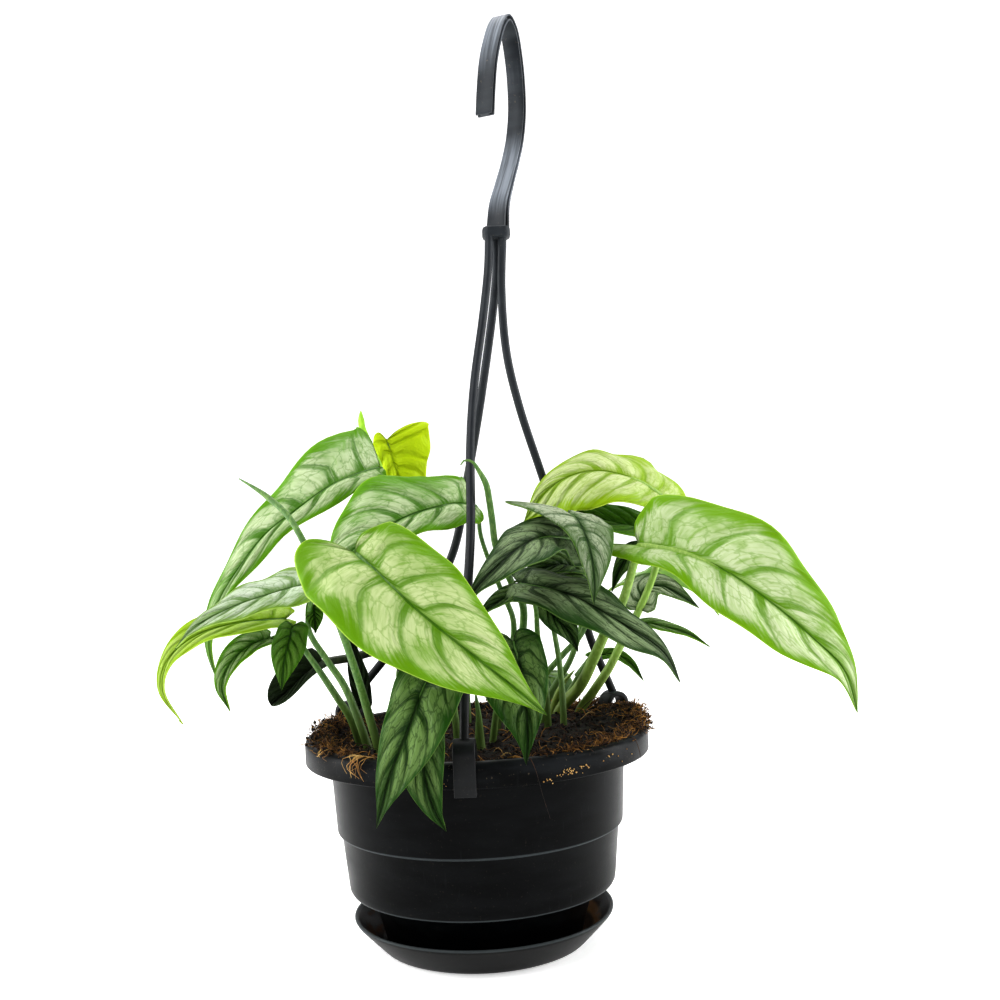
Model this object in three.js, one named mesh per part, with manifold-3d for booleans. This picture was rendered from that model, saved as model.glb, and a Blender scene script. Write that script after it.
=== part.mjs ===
// A young trailing monstera in a black hanging pot: pot, clip-under saucer, soil, three-armed hanger
// with its hook, and every leaf with its own stalk. Millimetres, +Z up, origin under the saucer's middle.
import * as THREE from 'three';
import { mergeVertices } from 'three/addons/utils/BufferGeometryUtils.js';
import Module from 'manifold-3d';

const wasm = await Module();
wasm.setup();

// Driving dimensions
const CLEARANCE = 0.3;
const ROUND_STEPS = 36;
const WALL = 1.6;
const SOFT = 0.5;
const BEVEL = 1.2;

const SAUCER = { baseRadius: 45, rimRadius: 56.7, height: 14, floor: 2 };

const POT = {
  footRadius: 43,
  footTopRadius: 48.5,
  shelfHeight: 24.8,
  shelfRadius: 58.2,
  stepHeight: 50.4,
  stepLowerRadius: 60.6,
  stepUpperRadius: 62.3,
  neckHeight: 83,
  neckRadius: 64.4,
  rimRadius: 75,
  rimBottom: 81.5,
  rimTop: 91.5,
  lipWidth: 5,
  drainHoles: 6,
  drainRadius: 3,
  drainCircle: 27,
};

const SOIL = {
  level: 88.5,
  gap: 0.55,
  rings: 5,
  grain: 0.66,
  lumps: [{ turns: 5, rate: 0.21 }, { turns: -3, rate: 0.33 }],
  mound: 5.5,
  moundAngle: 12,
  moundSpread: 34,
};

const CLIP = {
  width: 8.6,
  plate: 2.2,
  outerFace: 77.6,
  innerFace: 66,
  top: 100.6,
  foot: 79,
  toe: 2,
  arcSteps: 6,
};
const ARM = { radius: 1.9, sides: 8, steps: 18 };
const COLLAR = {
  centre: [18, 0.4],
  width: 12.4,
  depth: 10.5,
  bottom: 307.5,
  height: 5,
  corners: 16,
  squareness: 0.6,
  rounding: [[0, 0.92], [0.15, 1], [0.85, 1], [1, 0.92]],
};
const HOOK = { width: 8, thickness: 3.2, groove: 1.1, grooveDepth: 1.9, steps: 26, turn: 28 };

// Side veins leave the midrib a little later than their row and bend towards the margin
const BLADE = {
  thickness: 0.8,
  rows: 11,
  smallRows: 7,
  columns: 2,
  veinLead: 0.14,
  veinCurve: 1.3,
  veinBend: 1.15,
};
const STALK = { sides: 5, stepLength: 14, leastSteps: 5, underRib: [0, 0.16, 0.34], drop: 0.5, socket: 0.7 };

// Small helpers for vectors and solids
const vector = (point) => new THREE.Vector3(...point);
const radians = THREE.MathUtils.degToRad;
const mix = THREE.MathUtils.lerp;

function weld(positions, triangles) {
  const geometry = new THREE.BufferGeometry();
  geometry.setAttribute('position', new THREE.Float32BufferAttribute(positions, 3));
  geometry.setIndex(triangles);
  const merged = mergeVertices(geometry, 1e-4);
  const index = merged.getIndex().array;
  const kept = [];
  for (let i = 0; i < index.length; i += 3) {
    const [a, b, c] = [index[i], index[i + 1], index[i + 2]];
    if (a !== b && b !== c && c !== a) kept.push(a, b, c);
  }
  merged.setIndex(kept);
  return merged;
}

function toSolid(geometry) {
  const welded = weld(geometry.getAttribute('position').array, [...geometry.getIndex().array]);
  return new wasm.Manifold(new wasm.Mesh({
    numProp: 3,
    vertProperties: new Float32Array(welded.getAttribute('position').array),
    triVerts: new Uint32Array(welded.getIndex().array),
  }));
}

function toGeometry(solid) {
  const mesh = solid.getMesh();
  const geometry = new THREE.BufferGeometry();
  geometry.setAttribute('position', new THREE.BufferAttribute(new Float32Array(mesh.vertProperties), 3));
  geometry.setIndex(new THREE.BufferAttribute(new Uint32Array(mesh.triVerts), 1));
  return geometry;
}

const join = (solids) => solids.reduce((whole, piece) => whole.add(piece));

function lathe(profile) {
  const points = profile.map(([radius, height]) => new THREE.Vector2(radius, height));
  return toSolid(new THREE.LatheGeometry(points, ROUND_STEPS).rotateX(Math.PI / 2));
}

// A closed solid through a row of stations, each a place with two directions across it
function sweep(section, stations) {
  const positions = [];
  const triangles = [];
  const count = section.length;
  for (const { at, side, up, scale } of stations) {
    for (const corner of section) {
      const point = at.clone().addScaledVector(side, corner.x * scale).addScaledVector(up, corner.y * scale);
      positions.push(point.x, point.y, point.z);
    }
  }
  for (let s = 0; s + 1 < stations.length; s += 1) {
    for (let k = 0; k < count; k += 1) {
      const a = s * count + k;
      const b = s * count + ((k + 1) % count);
      triangles.push(a, b, b + count, a, b + count, a + count);
    }
  }
  const last = (stations.length - 1) * count;
  for (const [a, b, c] of THREE.ShapeUtils.triangulateShape(section, [])) {
    triangles.push(a, c, b, last + a, last + b, last + c);
  }
  return toSolid(weld(positions, triangles));
}

function circleSection(radius, sides) {
  return Array.from({ length: sides }, (_, k) => {
    const angle = (2 * Math.PI * k) / sides;
    return new THREE.Vector2(radius * Math.cos(angle), radius * Math.sin(angle));
  });
}

function rod(points, startRadius, endRadius, sides, steps) {
  const curve = new THREE.CatmullRomCurve3(points, false, 'centripetal');
  const frames = curve.computeFrenetFrames(steps, false);
  const stations = Array.from({ length: steps + 1 }, (_, s) => ({
    at: curve.getPointAt(s / steps),
    side: frames.normals[s],
    up: frames.binormals[s],
    scale: mix(startRadius, endRadius, s / steps),
  }));
  return sweep(circleSection(1, sides), stations);
}

function cylinder(radius, bottom, top, x, y) {
  const stations = [bottom, top].map((z) => ({
    at: new THREE.Vector3(x, y, z),
    side: new THREE.Vector3(1, 0, 0),
    up: new THREE.Vector3(0, 1, 0),
    scale: 1,
  }));
  return sweep(circleSection(radius, ROUND_STEPS / 3), stations);
}

// Saucer: a shallow dish with a flared rim and a flat underside
function makeSaucer() {
  const { baseRadius, rimRadius, height, floor } = SAUCER;
  return lathe([
    [0, 0],
    [baseRadius - BEVEL, 0],
    [baseRadius, SOFT],
    [rimRadius - SOFT, height - BEVEL],
    [rimRadius, height - SOFT],
    [rimRadius - SOFT, height],
    [rimRadius - BEVEL, height],
    [rimRadius - WALL - SOFT, height - BEVEL],
    [baseRadius, floor + SOFT],
    [baseRadius - BEVEL, floor],
    [0, floor],
  ]);
}

// The pot's inside from the neck down to the floor, moved inwards by a gap
const potBase = SAUCER.floor + CLEARANCE;
const insideWall = (gap) => {
  const inner = WALL + gap;
  return [
    [POT.neckRadius - inner, POT.neckHeight],
    [POT.stepUpperRadius - inner, POT.stepHeight + BEVEL + SOFT],
    [POT.stepLowerRadius - inner, POT.stepHeight + SOFT],
    [POT.shelfRadius - inner - SOFT, POT.shelfHeight + inner + BEVEL],
    [POT.shelfRadius - inner - 2 * BEVEL, POT.shelfHeight + inner],
    [POT.footTopRadius - inner, POT.shelfHeight + inner],
    [POT.footRadius - inner, potBase + inner],
  ];
};

// Pot: a foot that stands in the saucer, a shelf, a stepped wall and a hollow turned-over rim
function makePot() {
  const p = POT;
  const skirt = p.rimRadius - WALL;
  const lip = p.rimRadius - p.lipWidth;
  const shell = lathe([
    [0, potBase],
    [p.footRadius - BEVEL, potBase],
    [p.footRadius, potBase + BEVEL],
    [p.footTopRadius, p.shelfHeight - BEVEL],
    [p.footTopRadius + BEVEL, p.shelfHeight],
    [p.shelfRadius - 2 * BEVEL, p.shelfHeight],
    [p.shelfRadius - SOFT, p.shelfHeight + BEVEL],
    [p.shelfRadius, p.shelfHeight + 3 * BEVEL],
    [p.stepLowerRadius, p.stepHeight],
    [p.stepUpperRadius, p.stepHeight + BEVEL],
    [p.neckRadius, p.neckHeight],
    [lip + SOFT, p.rimTop - WALL],
    [skirt, p.rimTop - WALL],
    [skirt, p.rimBottom],
    [p.rimRadius - SOFT, p.rimBottom],
    [p.rimRadius, p.rimBottom + SOFT],
    [p.rimRadius, p.rimTop - WALL],
    [p.rimRadius - SOFT, p.rimTop - SOFT],
    [p.rimRadius - WALL, p.rimTop],
    [lip, p.rimTop],
    [lip - BEVEL, p.rimTop - SOFT],
    ...insideWall(0),
    [0, potBase + WALL],
  ]);
  const drains = Array.from({ length: p.drainHoles }, (_, k) => {
    const angle = (2 * Math.PI * k) / p.drainHoles;
    const x = p.drainCircle * Math.cos(angle);
    const y = p.drainCircle * Math.sin(angle);
    return cylinder(p.drainRadius, 0, potBase + 2 * WALL, x, y);
  });
  return drains.reduce((whole, hole) => whole.subtract(hole), shell);
}

// Soil: fills the pot, lumpy on top and heaped a little towards the right at the back
function soilHeight(radius, angle) {
  const { level, grain, lumps, mound, moundAngle, moundSpread } = SOIL;
  const lumpy = lumps.reduce((sum, { turns, rate }) => sum + Math.cos(turns * angle + rate * radius), 0);
  const off = angle - radians(moundAngle);
  const turned = THREE.MathUtils.radToDeg(Math.atan2(Math.sin(off), Math.cos(off)));
  const heap = mound * Math.exp(-((turned / moundSpread) ** 2)) * (radius / POT.neckRadius) ** 2;
  return level + grain * lumpy + heap;
}

// The soil reaches out as far as the flaring wall lets it at its own height
function soilEdge(angle) {
  const lipSlope = (POT.rimRadius - POT.lipWidth - BEVEL - POT.neckRadius + WALL)
    / (POT.rimTop - SOFT - POT.neckHeight);
  const height = Math.min(soilHeight(POT.neckRadius, angle), POT.rimTop - 2 * SOFT);
  return POT.neckRadius - WALL - SOIL.gap + (height - POT.neckHeight) * lipSlope;
}

function makeSoil(cutters) {
  const wall = insideWall(SOIL.gap).reverse();
  const floor = wall[0][1];
  const positions = [0, 0, floor, 0, 0, soilHeight(0, 0)];
  const rows = [];
  const addRow = (pointAt) => {
    rows.push(positions.length / 3);
    for (let k = 0; k < ROUND_STEPS; k += 1) {
      const angle = (2 * Math.PI * k) / ROUND_STEPS;
      const [radius, z] = pointAt(angle);
      positions.push(radius * Math.cos(angle), radius * Math.sin(angle), z);
    }
  };
  for (const point of wall) addRow(() => point);
  for (let ring = SOIL.rings; ring > 0; ring -= 1) {
    addRow((angle) => {
      const share = ring / SOIL.rings;
      return [soilEdge(angle) * share, soilHeight(POT.neckRadius * share, angle)];
    });
  }
  const triangles = [];
  const inmost = rows[rows.length - 1];
  for (let k = 0; k < ROUND_STEPS; k += 1) {
    const next = (k + 1) % ROUND_STEPS;
    triangles.push(0, rows[0] + next, rows[0] + k);
    for (let r = 0; r + 1 < rows.length; r += 1) {
      const [low, high] = [rows[r], rows[r + 1]];
      triangles.push(low + k, low + next, high + next, low + k, high + next, high + k);
    }
    triangles.push(1, inmost + k, inmost + next);
  }
  return cutters.reduce((whole, cutter) => whole.subtract(cutter), toSolid(weld(positions, triangles)));
}

// Hanger: the hook is a grooved strap bent in an upright plane, standing on a small collar
const HOOK_LINE = [
  [6, 361], [4, 372], [0.5, 386], [-5, 398], [-11, 407], [-16.5, 411], [-22.5, 407.5], [-26.5, 396],
  [-28, 384], [-27.5, 371], [-24, 358], [-18, 346], [-10.5, 334], [-4, 323], [-1, 311],
];

function makeHook() {
  const { width, thickness, groove, grooveDepth, steps, turn } = HOOK;
  const forward = new THREE.Vector3(-Math.sin(radians(turn)), -Math.cos(radians(turn)), 0);
  const across = new THREE.Vector3(Math.cos(radians(turn)), -Math.sin(radians(turn)), 0);
  const [cx, cy] = COLLAR.centre;
  const place = ([along, z]) => new THREE.Vector3(cx, cy, z).addScaledVector(forward, along);
  const curve = new THREE.CatmullRomCurve3(HOOK_LINE.map(place), false, 'centripetal');
  const stations = Array.from({ length: steps + 1 }, (_, s) => {
    const tangent = curve.getTangentAt(s / steps);
    return { at: curve.getPointAt(s / steps), side: across, up: tangent.clone().cross(across), scale: 1 };
  });
  const [w, t, g, d] = [width / 2, thickness / 2, groove / 2, grooveDepth];
  const outline = [
    [-w, -t], [w, -t], [w, -g], [w - d, -g], [w - d, g], [w, g], [w, t], [-w, t],
    [-w, g], [d - w, g], [d - w, -g], [-w, -g],
  ];
  const strap = sweep(outline.map(([x, y]) => new THREE.Vector2(x, y)), stations);
  const collarStations = COLLAR.rounding.map(([level, scale]) => ({
    at: new THREE.Vector3(cx, cy, COLLAR.bottom + level * COLLAR.height),
    side: new THREE.Vector3(1, 0, 0),
    up: new THREE.Vector3(0, 1, 0),
    scale,
  }));
  const squared = (value) => Math.sign(value) * Math.abs(value) ** COLLAR.squareness;
  const oval = circleSection(1, COLLAR.corners).map(({ x, y }) => new THREE.Vector2(
    (squared(x) * COLLAR.width) / 2,
    (squared(y) * COLLAR.depth) / 2,
  ));
  return strap.add(sweep(oval, collarStations));
}

// Each arm is a thin rod from the collar down to a clip that straddles the pot's rim
const ARMS = {
  hanger_arm_front: {
    azimuth: -94,
    line: [[14.6, -2.6, 306.9], [13.6, -6, 293], [10.2, -14, 270], [5.2, -25, 241], [2.4, -36, 214],
      [1, -48, 180], [-1.6, -58, 152], [-4.2, -67.5, 116]],
  },
  hanger_arm_right: {
    azimuth: 26,
    line: [[20.6, -1.2, 306.9], [19.4, 3, 286], [20.6, 8, 258], [25.4, 12, 234], [36, 19, 198],
      [46, 24.5, 160], [55, 29, 125]],
  },
  hanger_arm_left: {
    azimuth: 146,
    line: [[17.8, 3.4, 306.9], [17.6, 5.4, 294], [10, 14, 247], [1, 22, 204], [-9, 28, 165], [-35, 37, 128]],
  },
};

function clipProfile() {
  const { plate, outerFace, innerFace, top, foot, toe, arcSteps } = CLIP;
  const middle = (outerFace + innerFace) / 2;
  const outer = (outerFace - innerFace) / 2;
  const arc = (radius, from, to) => Array.from({ length: arcSteps + 1 }, (_, k) => {
    const angle = radians(mix(from, to, k / arcSteps));
    return [middle + radius * Math.cos(angle), top - outer + radius * Math.sin(angle)];
  });
  const jaw = POT.rimRadius - WALL - CLEARANCE;
  const innerFoot = POT.rimTop + CLEARANCE;
  return [
    [jaw, foot],
    [outerFace, foot],
    ...arc(outer, 0, 180),
    [innerFace, innerFoot],
    [innerFace + plate, innerFoot],
    ...arc(outer - plate, 180, 0),
    [outerFace - plate, foot + toe],
    [jaw, foot + toe],
  ].map(([x, y]) => new THREE.Vector2(x, y));
}

function clipStations(azimuth, width) {
  const out = new THREE.Vector3(Math.cos(radians(azimuth)), Math.sin(radians(azimuth)), 0);
  const across = new THREE.Vector3(-out.y, out.x, 0);
  return [width / 2, -width / 2].map((shift) => ({
    at: across.clone().multiplyScalar(shift),
    side: out,
    up: new THREE.Vector3(0, 0, 1),
    scale: 1,
  }));
}

// The room that a clip takes up in the soil beside the rim
function clipRoom({ azimuth }) {
  const [near, far] = [CLIP.innerFace - 2 * CLEARANCE, CLIP.outerFace];
  const [low, high] = [POT.rimTop - 2 * CLEARANCE, CLIP.top];
  const room = [[near, low], [far, low], [far, high], [near, high]].map(([x, y]) => new THREE.Vector2(x, y));
  return sweep(room, clipStations(azimuth, CLIP.width + 4 * CLEARANCE));
}

function makeArm({ azimuth, line }) {
  const middle = (CLIP.outerFace + CLIP.innerFace) / 2;
  const seat = new THREE.Vector3(middle * Math.cos(radians(azimuth)), middle * Math.sin(radians(azimuth)),
    CLIP.top - 1);
  const points = [...line.map(vector), seat];
  const shaft = rod(points, ARM.radius, ARM.radius, ARM.sides, ARM.steps);
  return shaft.add(sweep(clipProfile(), clipStations(azimuth, CLIP.width)));
}

// Leaf outlines, from the notch at the stalk round one side to the tip: how far along the midrib
// (below zero as a share of the lobe, above zero of the midrib) and how far out as a share of the half width
const HEART = [
  [0, 0], [-0.62, 0.13], [-0.98, 0.36], [-0.82, 0.68], [-0.2, 0.92], [0.16, 1], [0.34, 0.94], [0.52, 0.75],
  [0.68, 0.5], [0.8, 0.27], [0.9, 0.11], [1, 0],
];
const SADDLE = [
  [0, 0], [-0.3, 0.3], [-0.5, 0.62], [-0.4, 0.9], [0, 1], [0.12, 0.78], [0.22, 0.5], [0.34, 0.3], [0.5, 0.22],
  [0.7, 0.16], [0.86, 0.08], [1, 0],
];
const LANCE = [
  [0, 0], [-0.5, 0.2], [-0.9, 0.45], [-0.5, 0.76], [0.14, 0.94], [0.3, 1], [0.46, 0.9], [0.62, 0.68],
  [0.76, 0.42], [0.87, 0.2], [0.95, 0.07], [1, 0],
];
const ROUND = [
  [0, 0], [-0.16, 0.14], [-0.24, 0.36], [-0.14, 0.62], [0.02, 0.84], [0.18, 0.98], [0.34, 0.98],
  [0.52, 0.8], [0.68, 0.54], [0.8, 0.3], [0.9, 0.12], [1, 0],
];
const TONGUE = [
  [0, 0], [-0.6, 0.05], [-0.98, 0.2], [-0.66, 0.36], [-0.1, 0.44], [0.14, 0.62], [0.28, 0.86],
  [0.42, 1], [0.58, 0.88], [0.74, 0.56], [0.87, 0.22], [1, 0],
];
const CROWN = [
  [0, 0], [-0.3, 0.3], [-0.62, 0.7], [-0.6, 1], [-0.24, 1.15], [0.06, 1.07], [0.2, 0.93], [0.33, 0.72],
  [0.45, 0.5], [0.58, 0.36], [0.72, 0.26], [0.86, 0.12], [1, 0],
];
const BROAD = [
  [0, 0], [-0.3, 0.4], [-0.4, 0.7], [-0.1, 0.76], [0.08, 0.68], [0.26, 0.82], [0.42, 1], [0.58, 0.96],
  [0.72, 0.68], [0.84, 0.4], [0.93, 0.16], [1, 0],
];
const FULL = [
  [0, 0], [-0.5, 0.26], [-0.8, 0.64], [-0.66, 1], [-0.2, 1.14], [0.14, 1.04], [0.34, 0.86], [0.52, 0.7],
  [0.68, 0.48], [0.82, 0.27], [0.92, 0.12], [1, 0],
];
const FLANK = [
  [0, 0], [-0.16, 0.14], [-0.2, 0.3], [-0.05, 0.5], [0.12, 0.66], [0.3, 0.84], [0.48, 1], [0.62, 0.98],
  [0.75, 0.8], [0.86, 0.5], [0.94, 0.22], [1, 0],
];
const BLUNT = [
  [0, 0], [-0.4, 0.3], [-0.3, 0.6], [0, 0.85], [0.2, 1], [0.4, 1], [0.6, 0.96], [0.76, 0.84],
  [0.88, 0.64], [0.95, 0.42], [0.99, 0.2], [1, 0],
];

function bladeFrame(curve, length, face, station) {
  const share = THREE.MathUtils.clamp(station / length, 0, 1);
  const tangent = curve.getTangentAt(share);
  const spread = share * (face.length - 1);
  const from = Math.min(Math.floor(spread), face.length - 2);
  const normal = vector(face[from]).lerp(vector(face[from + 1]), spread - from);
  normal.addScaledVector(tangent, -normal.dot(tangent)).normalize();
  const at = curve.getPointAt(share).addScaledVector(tangent, Math.min(station, 0));
  return { at, tangent, normal, left: normal.clone().cross(tangent) };
}

// A thin blade: both faces are split alike, so its two skins never cross
function makeBlade(leaf) {
  const { rib, face, half, lobe, outline = HEART, outlines = [outline, outline] } = leaf;
  const { fold = 10, sag = 0, wave = 0, waves = 3 } = leaf;
  const curve = new THREE.CatmullRomCurve3(rib.map(vector), false, 'centripetal');
  const length = curve.getLength();
  const rows = leaf.rows ?? BLADE.rows;
  const [leftMargin, rightMargin] = outlines.map((line) => new THREE.SplineCurve(
    line.map(([x, y]) => new THREE.Vector2(x, y)),
  ));
  const positions = [];
  const spot = (row, column, side, skin) => {
    const edge = (side > 0 ? leftMargin : rightMargin).getPoint(row / rows);
    const width = half[side > 0 ? 0 : 1] * Math.max(edge.y, 0);
    const reach = edge.x < 0 ? edge.x * lobe : edge.x * length;
    const leave = mix(-BLADE.veinLead, 1, (row / rows) ** BLADE.veinCurve);
    const share = column / BLADE.columns;
    const station = mix(Math.max(leave, 0) * length, reach, share ** BLADE.veinBend);
    const { at, normal, left } = bladeFrame(curve, length, face, station);
    const ripple = wave * Math.sin((2 * Math.PI * waves * reach) / length + side) * share ** 2 * edge.y;
    const rise = width * share * Math.tan(radians(fold)) - sag * share ** 2 * edge.y + ripple;
    return at.clone().addScaledVector(left, side * width * share)
      .addScaledVector(normal, rise + (skin * BLADE.thickness) / 2);
  };
  const index = new Map();
  const vertex = (row, column, side, skin) => {
    const key = `${row} ${column} ${side} ${skin}`;
    if (!index.has(key)) {
      const point = spot(row, column, side, skin);
      index.set(key, positions.length / 3);
      positions.push(point.x, point.y, point.z);
    }
    return index.get(key);
  };
  const triangles = [];
  const quad = (a, b, c, d, flip) => {
    if (flip) triangles.push(a, c, b, a, d, c);
    else triangles.push(a, b, c, a, c, d);
  };
  for (const side of [1, -1]) {
    for (let row = 0; row < rows; row += 1) {
      for (let column = 0; column < BLADE.columns; column += 1) {
        for (const skin of [1, -1]) {
          quad(vertex(row, column, side, skin), vertex(row + 1, column, side, skin),
            vertex(row + 1, column + 1, side, skin), vertex(row, column + 1, side, skin), side * skin < 0);
        }
      }
      const outside = BLADE.columns;
      quad(vertex(row, outside, side, 1), vertex(row + 1, outside, side, 1),
        vertex(row + 1, outside, side, -1), vertex(row, outside, side, -1), side < 0);
    }
  }
  return toSolid(weld(positions, triangles));
}

// A stalk runs on a little way under its leaf's midrib, and down to a foot in the soil
function stalkPoints(leaf) {
  const points = leaf.stalk.map(vector);
  if (leaf.rib) {
    const curve = new THREE.CatmullRomCurve3(leaf.rib.map(vector), false, 'centripetal');
    const length = curve.getLength();
    for (const share of STALK.underRib) {
      const { at, normal } = bladeFrame(curve, length, leaf.face, share * length);
      points.unshift(at.addScaledVector(normal, -STALK.drop));
    }
  }
  return points;
}

function stalkSolid(leaf, extra) {
  const points = stalkPoints(leaf);
  const [tip, foot] = leaf.radii ?? [0.8, 1.8];
  const last = points[points.length - 1];
  const before = points[points.length - 2];
  if (extra > 0) last.addScaledVector(last.clone().sub(before).normalize(), extra);
  const length = new THREE.CatmullRomCurve3(points, false, 'centripetal').getLength();
  const steps = Math.max(STALK.leastSteps, Math.round(length / STALK.stepLength));
  return rod(points, tip + extra, foot + extra, STALK.sides, steps);
}

function makeLeaf(leaf) {
  const solids = [];
  for (const piece of leaf.pieces ?? [leaf]) {
    if (piece.rib) solids.push(makeBlade(piece));
    if (piece.stalk) solids.push(stalkSolid(piece, 0));
  }
  return join(solids);
}

// Leaves: midrib from stalk to tip, the way the upper face looks along it, half widths left and right
// of the midrib, and the stalk from the leaf down into the soil. Leaves on one stem share a node.
const small = { rows: BLADE.smallRows, outline: LANCE, lobe: 3 };
const LIME = 0x9fca3c;
const SILVER = 0x9dbb8f;
const GREEN = 0x6d9b45;
const DARK = 0x35592c;
const LEAVES = {
  leaf_front_lime: {
    rib: [[-42, -88, 174], [-36, -92, 169], [-21, -99, 154], [-5, -103, 140], [10, -102, 127],
      [26, -97, 112]],
    face: [[-0.05, -0.82, 0.57], [0, -0.9, 0.43], [0.1, -0.95, 0.3]],
    half: [22, 25], lobe: 18, fold: 8, sag: 4, wave: 1.4, color: LIME, outlines: [ROUND, HEART],
    stalk: [[-40, -84, 171], [-35, -74, 161], [-30, -56, 138], [-26, -42, 112], [-23, -34, 80]],
    radii: [0.7, 2.2],
  },
  leaf_top_left: {
    color: GREEN,
    pieces: [
      {
        rib: [[-37, -12, 208], [-48, -16, 205], [-59, -20, 200], [-72, -24, 191], [-84, -28, 182],
          [-95, -30, 169], [-105, -32, 153], [-109, -32, 137], [-106, -31, 119]],
        face: [[-0.2, -0.75, 0.6], [-0.4, -0.7, 0.6], [-0.85, -0.5, 0.2]],
        half: [9, 25], lobe: 6, fold: 8, sag: 3, wave: 1.6, outlines: [ROUND, CROWN],
        stalk: [[-36, -10, 207], [-37, -4, 196], [-34, 2, 167], [-31, 0, 132], [-28, -8, 107],
          [-28, -12, 80]],
        radii: [0.7, 2],
      },
      {
        stalk: [[-46, 11, 234.5], [-46, 11, 231], [-45.5, 9, 227], [-43, 5, 221], [-40, -1, 214],
          [-37.5, -6, 209], [-37, -8, 205]],
        radii: [1.5, 1.3],
      },
    ],
  },
  leaf_left_silver: {
    color: SILVER,
    pieces: [
      {
        rib: [[-59, -57, 161], [-67, -60, 161], [-80, -64, 158], [-93, -66, 154], [-107, -66, 147],
          [-116, -62, 139]],
        face: [[-0.1, -0.5, 0.86], [-0.25, -0.55, 0.8]],
        half: [13, 13], lobe: 9, fold: 10, sag: 2, wave: 1,
        stalk: [[-60, -56, 160], [-64, -51, 153], [-66, -44, 142], [-60, -38, 129], [-54, -34, 118],
          [-49, -30, 103], [-43, -26, 80]],
        radii: [0.7, 2.1],
      },
      {
        ...small, rib: [[-63, -49, 152], [-63, -48, 148], [-63, -47, 141]],
        face: [[0.1, -0.9, 0.3], [0, -1, 0]], half: [3.6, 3.6],
      },
    ],
  },
  stem_left_low: {
    color: GREEN,
    pieces: [
      {
        ...small, rows: BLADE.rows, lobe: 5,
        rib: [[-76, -42, 147], [-85, -44, 147], [-97, -46, 146], [-111, -48, 142], [-121, -48, 134],
          [-125, -46, 121], [-119, -42, 106]],
        face: [[-0.1, -0.6, 0.8], [-0.5, -0.65, 0.55], [-0.85, -0.5, 0]],
        half: [8, 8], fold: 12, wave: 0.6,
        stalk: [[-75, -41, 146], [-71, -38, 137], [-64, -32, 124], [-58, -26, 112], [-53, -19, 101],
          [-48, -10, 80]],
        radii: [0.7, 2.1],
      },
      {
        ...small, rib: [[-83, -40, 139], [-90, -46, 137], [-97, -48, 131], [-101, -48, 122], [-99, -46, 111]],
        face: [[-0.3, -0.8, 0.5], [-0.5, -0.85, 0]], half: [5, 6], fold: 14,
        stalk: [[-82, -39, 139], [-76, -38, 140], [-71, -38, 138]], radii: [0.7, 1],
      },
      {
        ...small, rib: [[-71, -54, 145], [-72, -58, 140], [-74, -60, 132], [-76, -58, 120]],
        face: [[-0.1, -0.9, 0.4], [-0.1, -1, -0.1]], half: [7, 7], fold: -14,
        stalk: [[-71, -53, 145], [-76, -47, 144], [-74, -38, 138]], radii: [0.7, 1],
      },
    ],
  },
  leaf_back_yellow: {
    rib: [[-37, 44, 223], [-35, 43, 217], [-33, 42, 209], [-30, 43, 200], [-28, 45, 191], [-27, 47, 184]],
    face: [[0.1, -0.9, 0.4], [0.2, -0.95, 0.2]],
    half: [19, 7], lobe: 5, fold: 8, sag: 2, wave: 0.8, rows: BLADE.smallRows, color: LIME,
    outlines: [FULL, HEART],
    stalk: [[-36, 46, 222], [-36, 51, 213], [-35, 50, 196], [-34, 40, 170], [-31, 24, 139], [-28, 12, 108],
      [-25, 8, 80]],
    radii: [0.6, 1.7],
  },
  leaf_second: {
    rib: [[2, -27, 190], [-4, -30, 191], [-11, -34, 190], [-23, -38, 187], [-36, -41, 181], [-48, -41, 173],
      [-59, -38, 162]],
    face: [[-0.1, -0.7, 0.7], [-0.1, -0.85, 0.5]],
    half: [12, 25], lobe: 4, fold: 8, sag: 3, wave: 1.3, color: GREEN, outlines: [HEART, BROAD],
    stalk: [[4, -25, 189], [5, -22, 178], [7, -18, 170], [13, -10, 153], [18, -4, 139], [17, 2, 125],
      [11, 4, 103], [8, 2, 80]],
    radii: [0.7, 1.8],
  },
  spear_left: {
    stalk: [[-89, -58, 204], [-81, -62, 199], [-77, -64, 196], [-69, -71, 189], [-63, -77, 180],
      [-57, -79, 166], [-51, -74, 148], [-47, -58, 128], [-44, -43, 109], [-38, -36, 80]],
    radii: [1.1, 2], color: LIME,
  },
  spear_middle: {
    stalk: [[-2, -49, 206], [0, -49, 208], [3, -49, 207], [5, -48, 204], [8, -46, 198], [9, -43, 192],
      [10, -39, 183], [11, -34, 173], [18, -14, 155], [23, 2, 143], [21, 10, 124], [16, 12, 101],
      [14, 12, 80]],
    radii: [1.2, 2.1], color: GREEN,
  },
  leaf_middle_dark: {
    color: DARK,
    pieces: [
      {
        rib: [[45, -19, 173], [37, -26, 175], [28, -38, 175], [20, -52, 172], [10, -66, 165], [2, -74, 158],
          [-3, -78, 151]],
        face: [[-0.2, -0.9, 0.4], [-0.3, -0.95, 0.2]],
        half: [15.5, 10], lobe: 6, fold: 8, wave: 1, outline: LANCE,
        stalk: [[45, -18, 171], [47, -11, 163], [52, -4, 150], [49, 2, 132], [40, 4, 122], [31, 6, 112],
          [25, 6, 102], [21, 4, 90], [19, 4, 80]],
        radii: [0.7, 1.8],
      },
      {
        ...small, rib: [[47, -13, 161], [38, -20, 163], [28, -26, 161], [18, -30, 157]],
        face: [[0, -0.7, 0.7], [0, -0.8, 0.6]], half: [6, 7],
      },
    ],
  },
  leaf_long_dark: {
    color: DARK,
    pieces: [
      {
        rib: [[20, -37, 157], [30, -42.5, 155], [42, -46.5, 151], [52, -49, 145], [64, -49, 137],
          [77, -45, 127], [85, -38, 113]],
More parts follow.
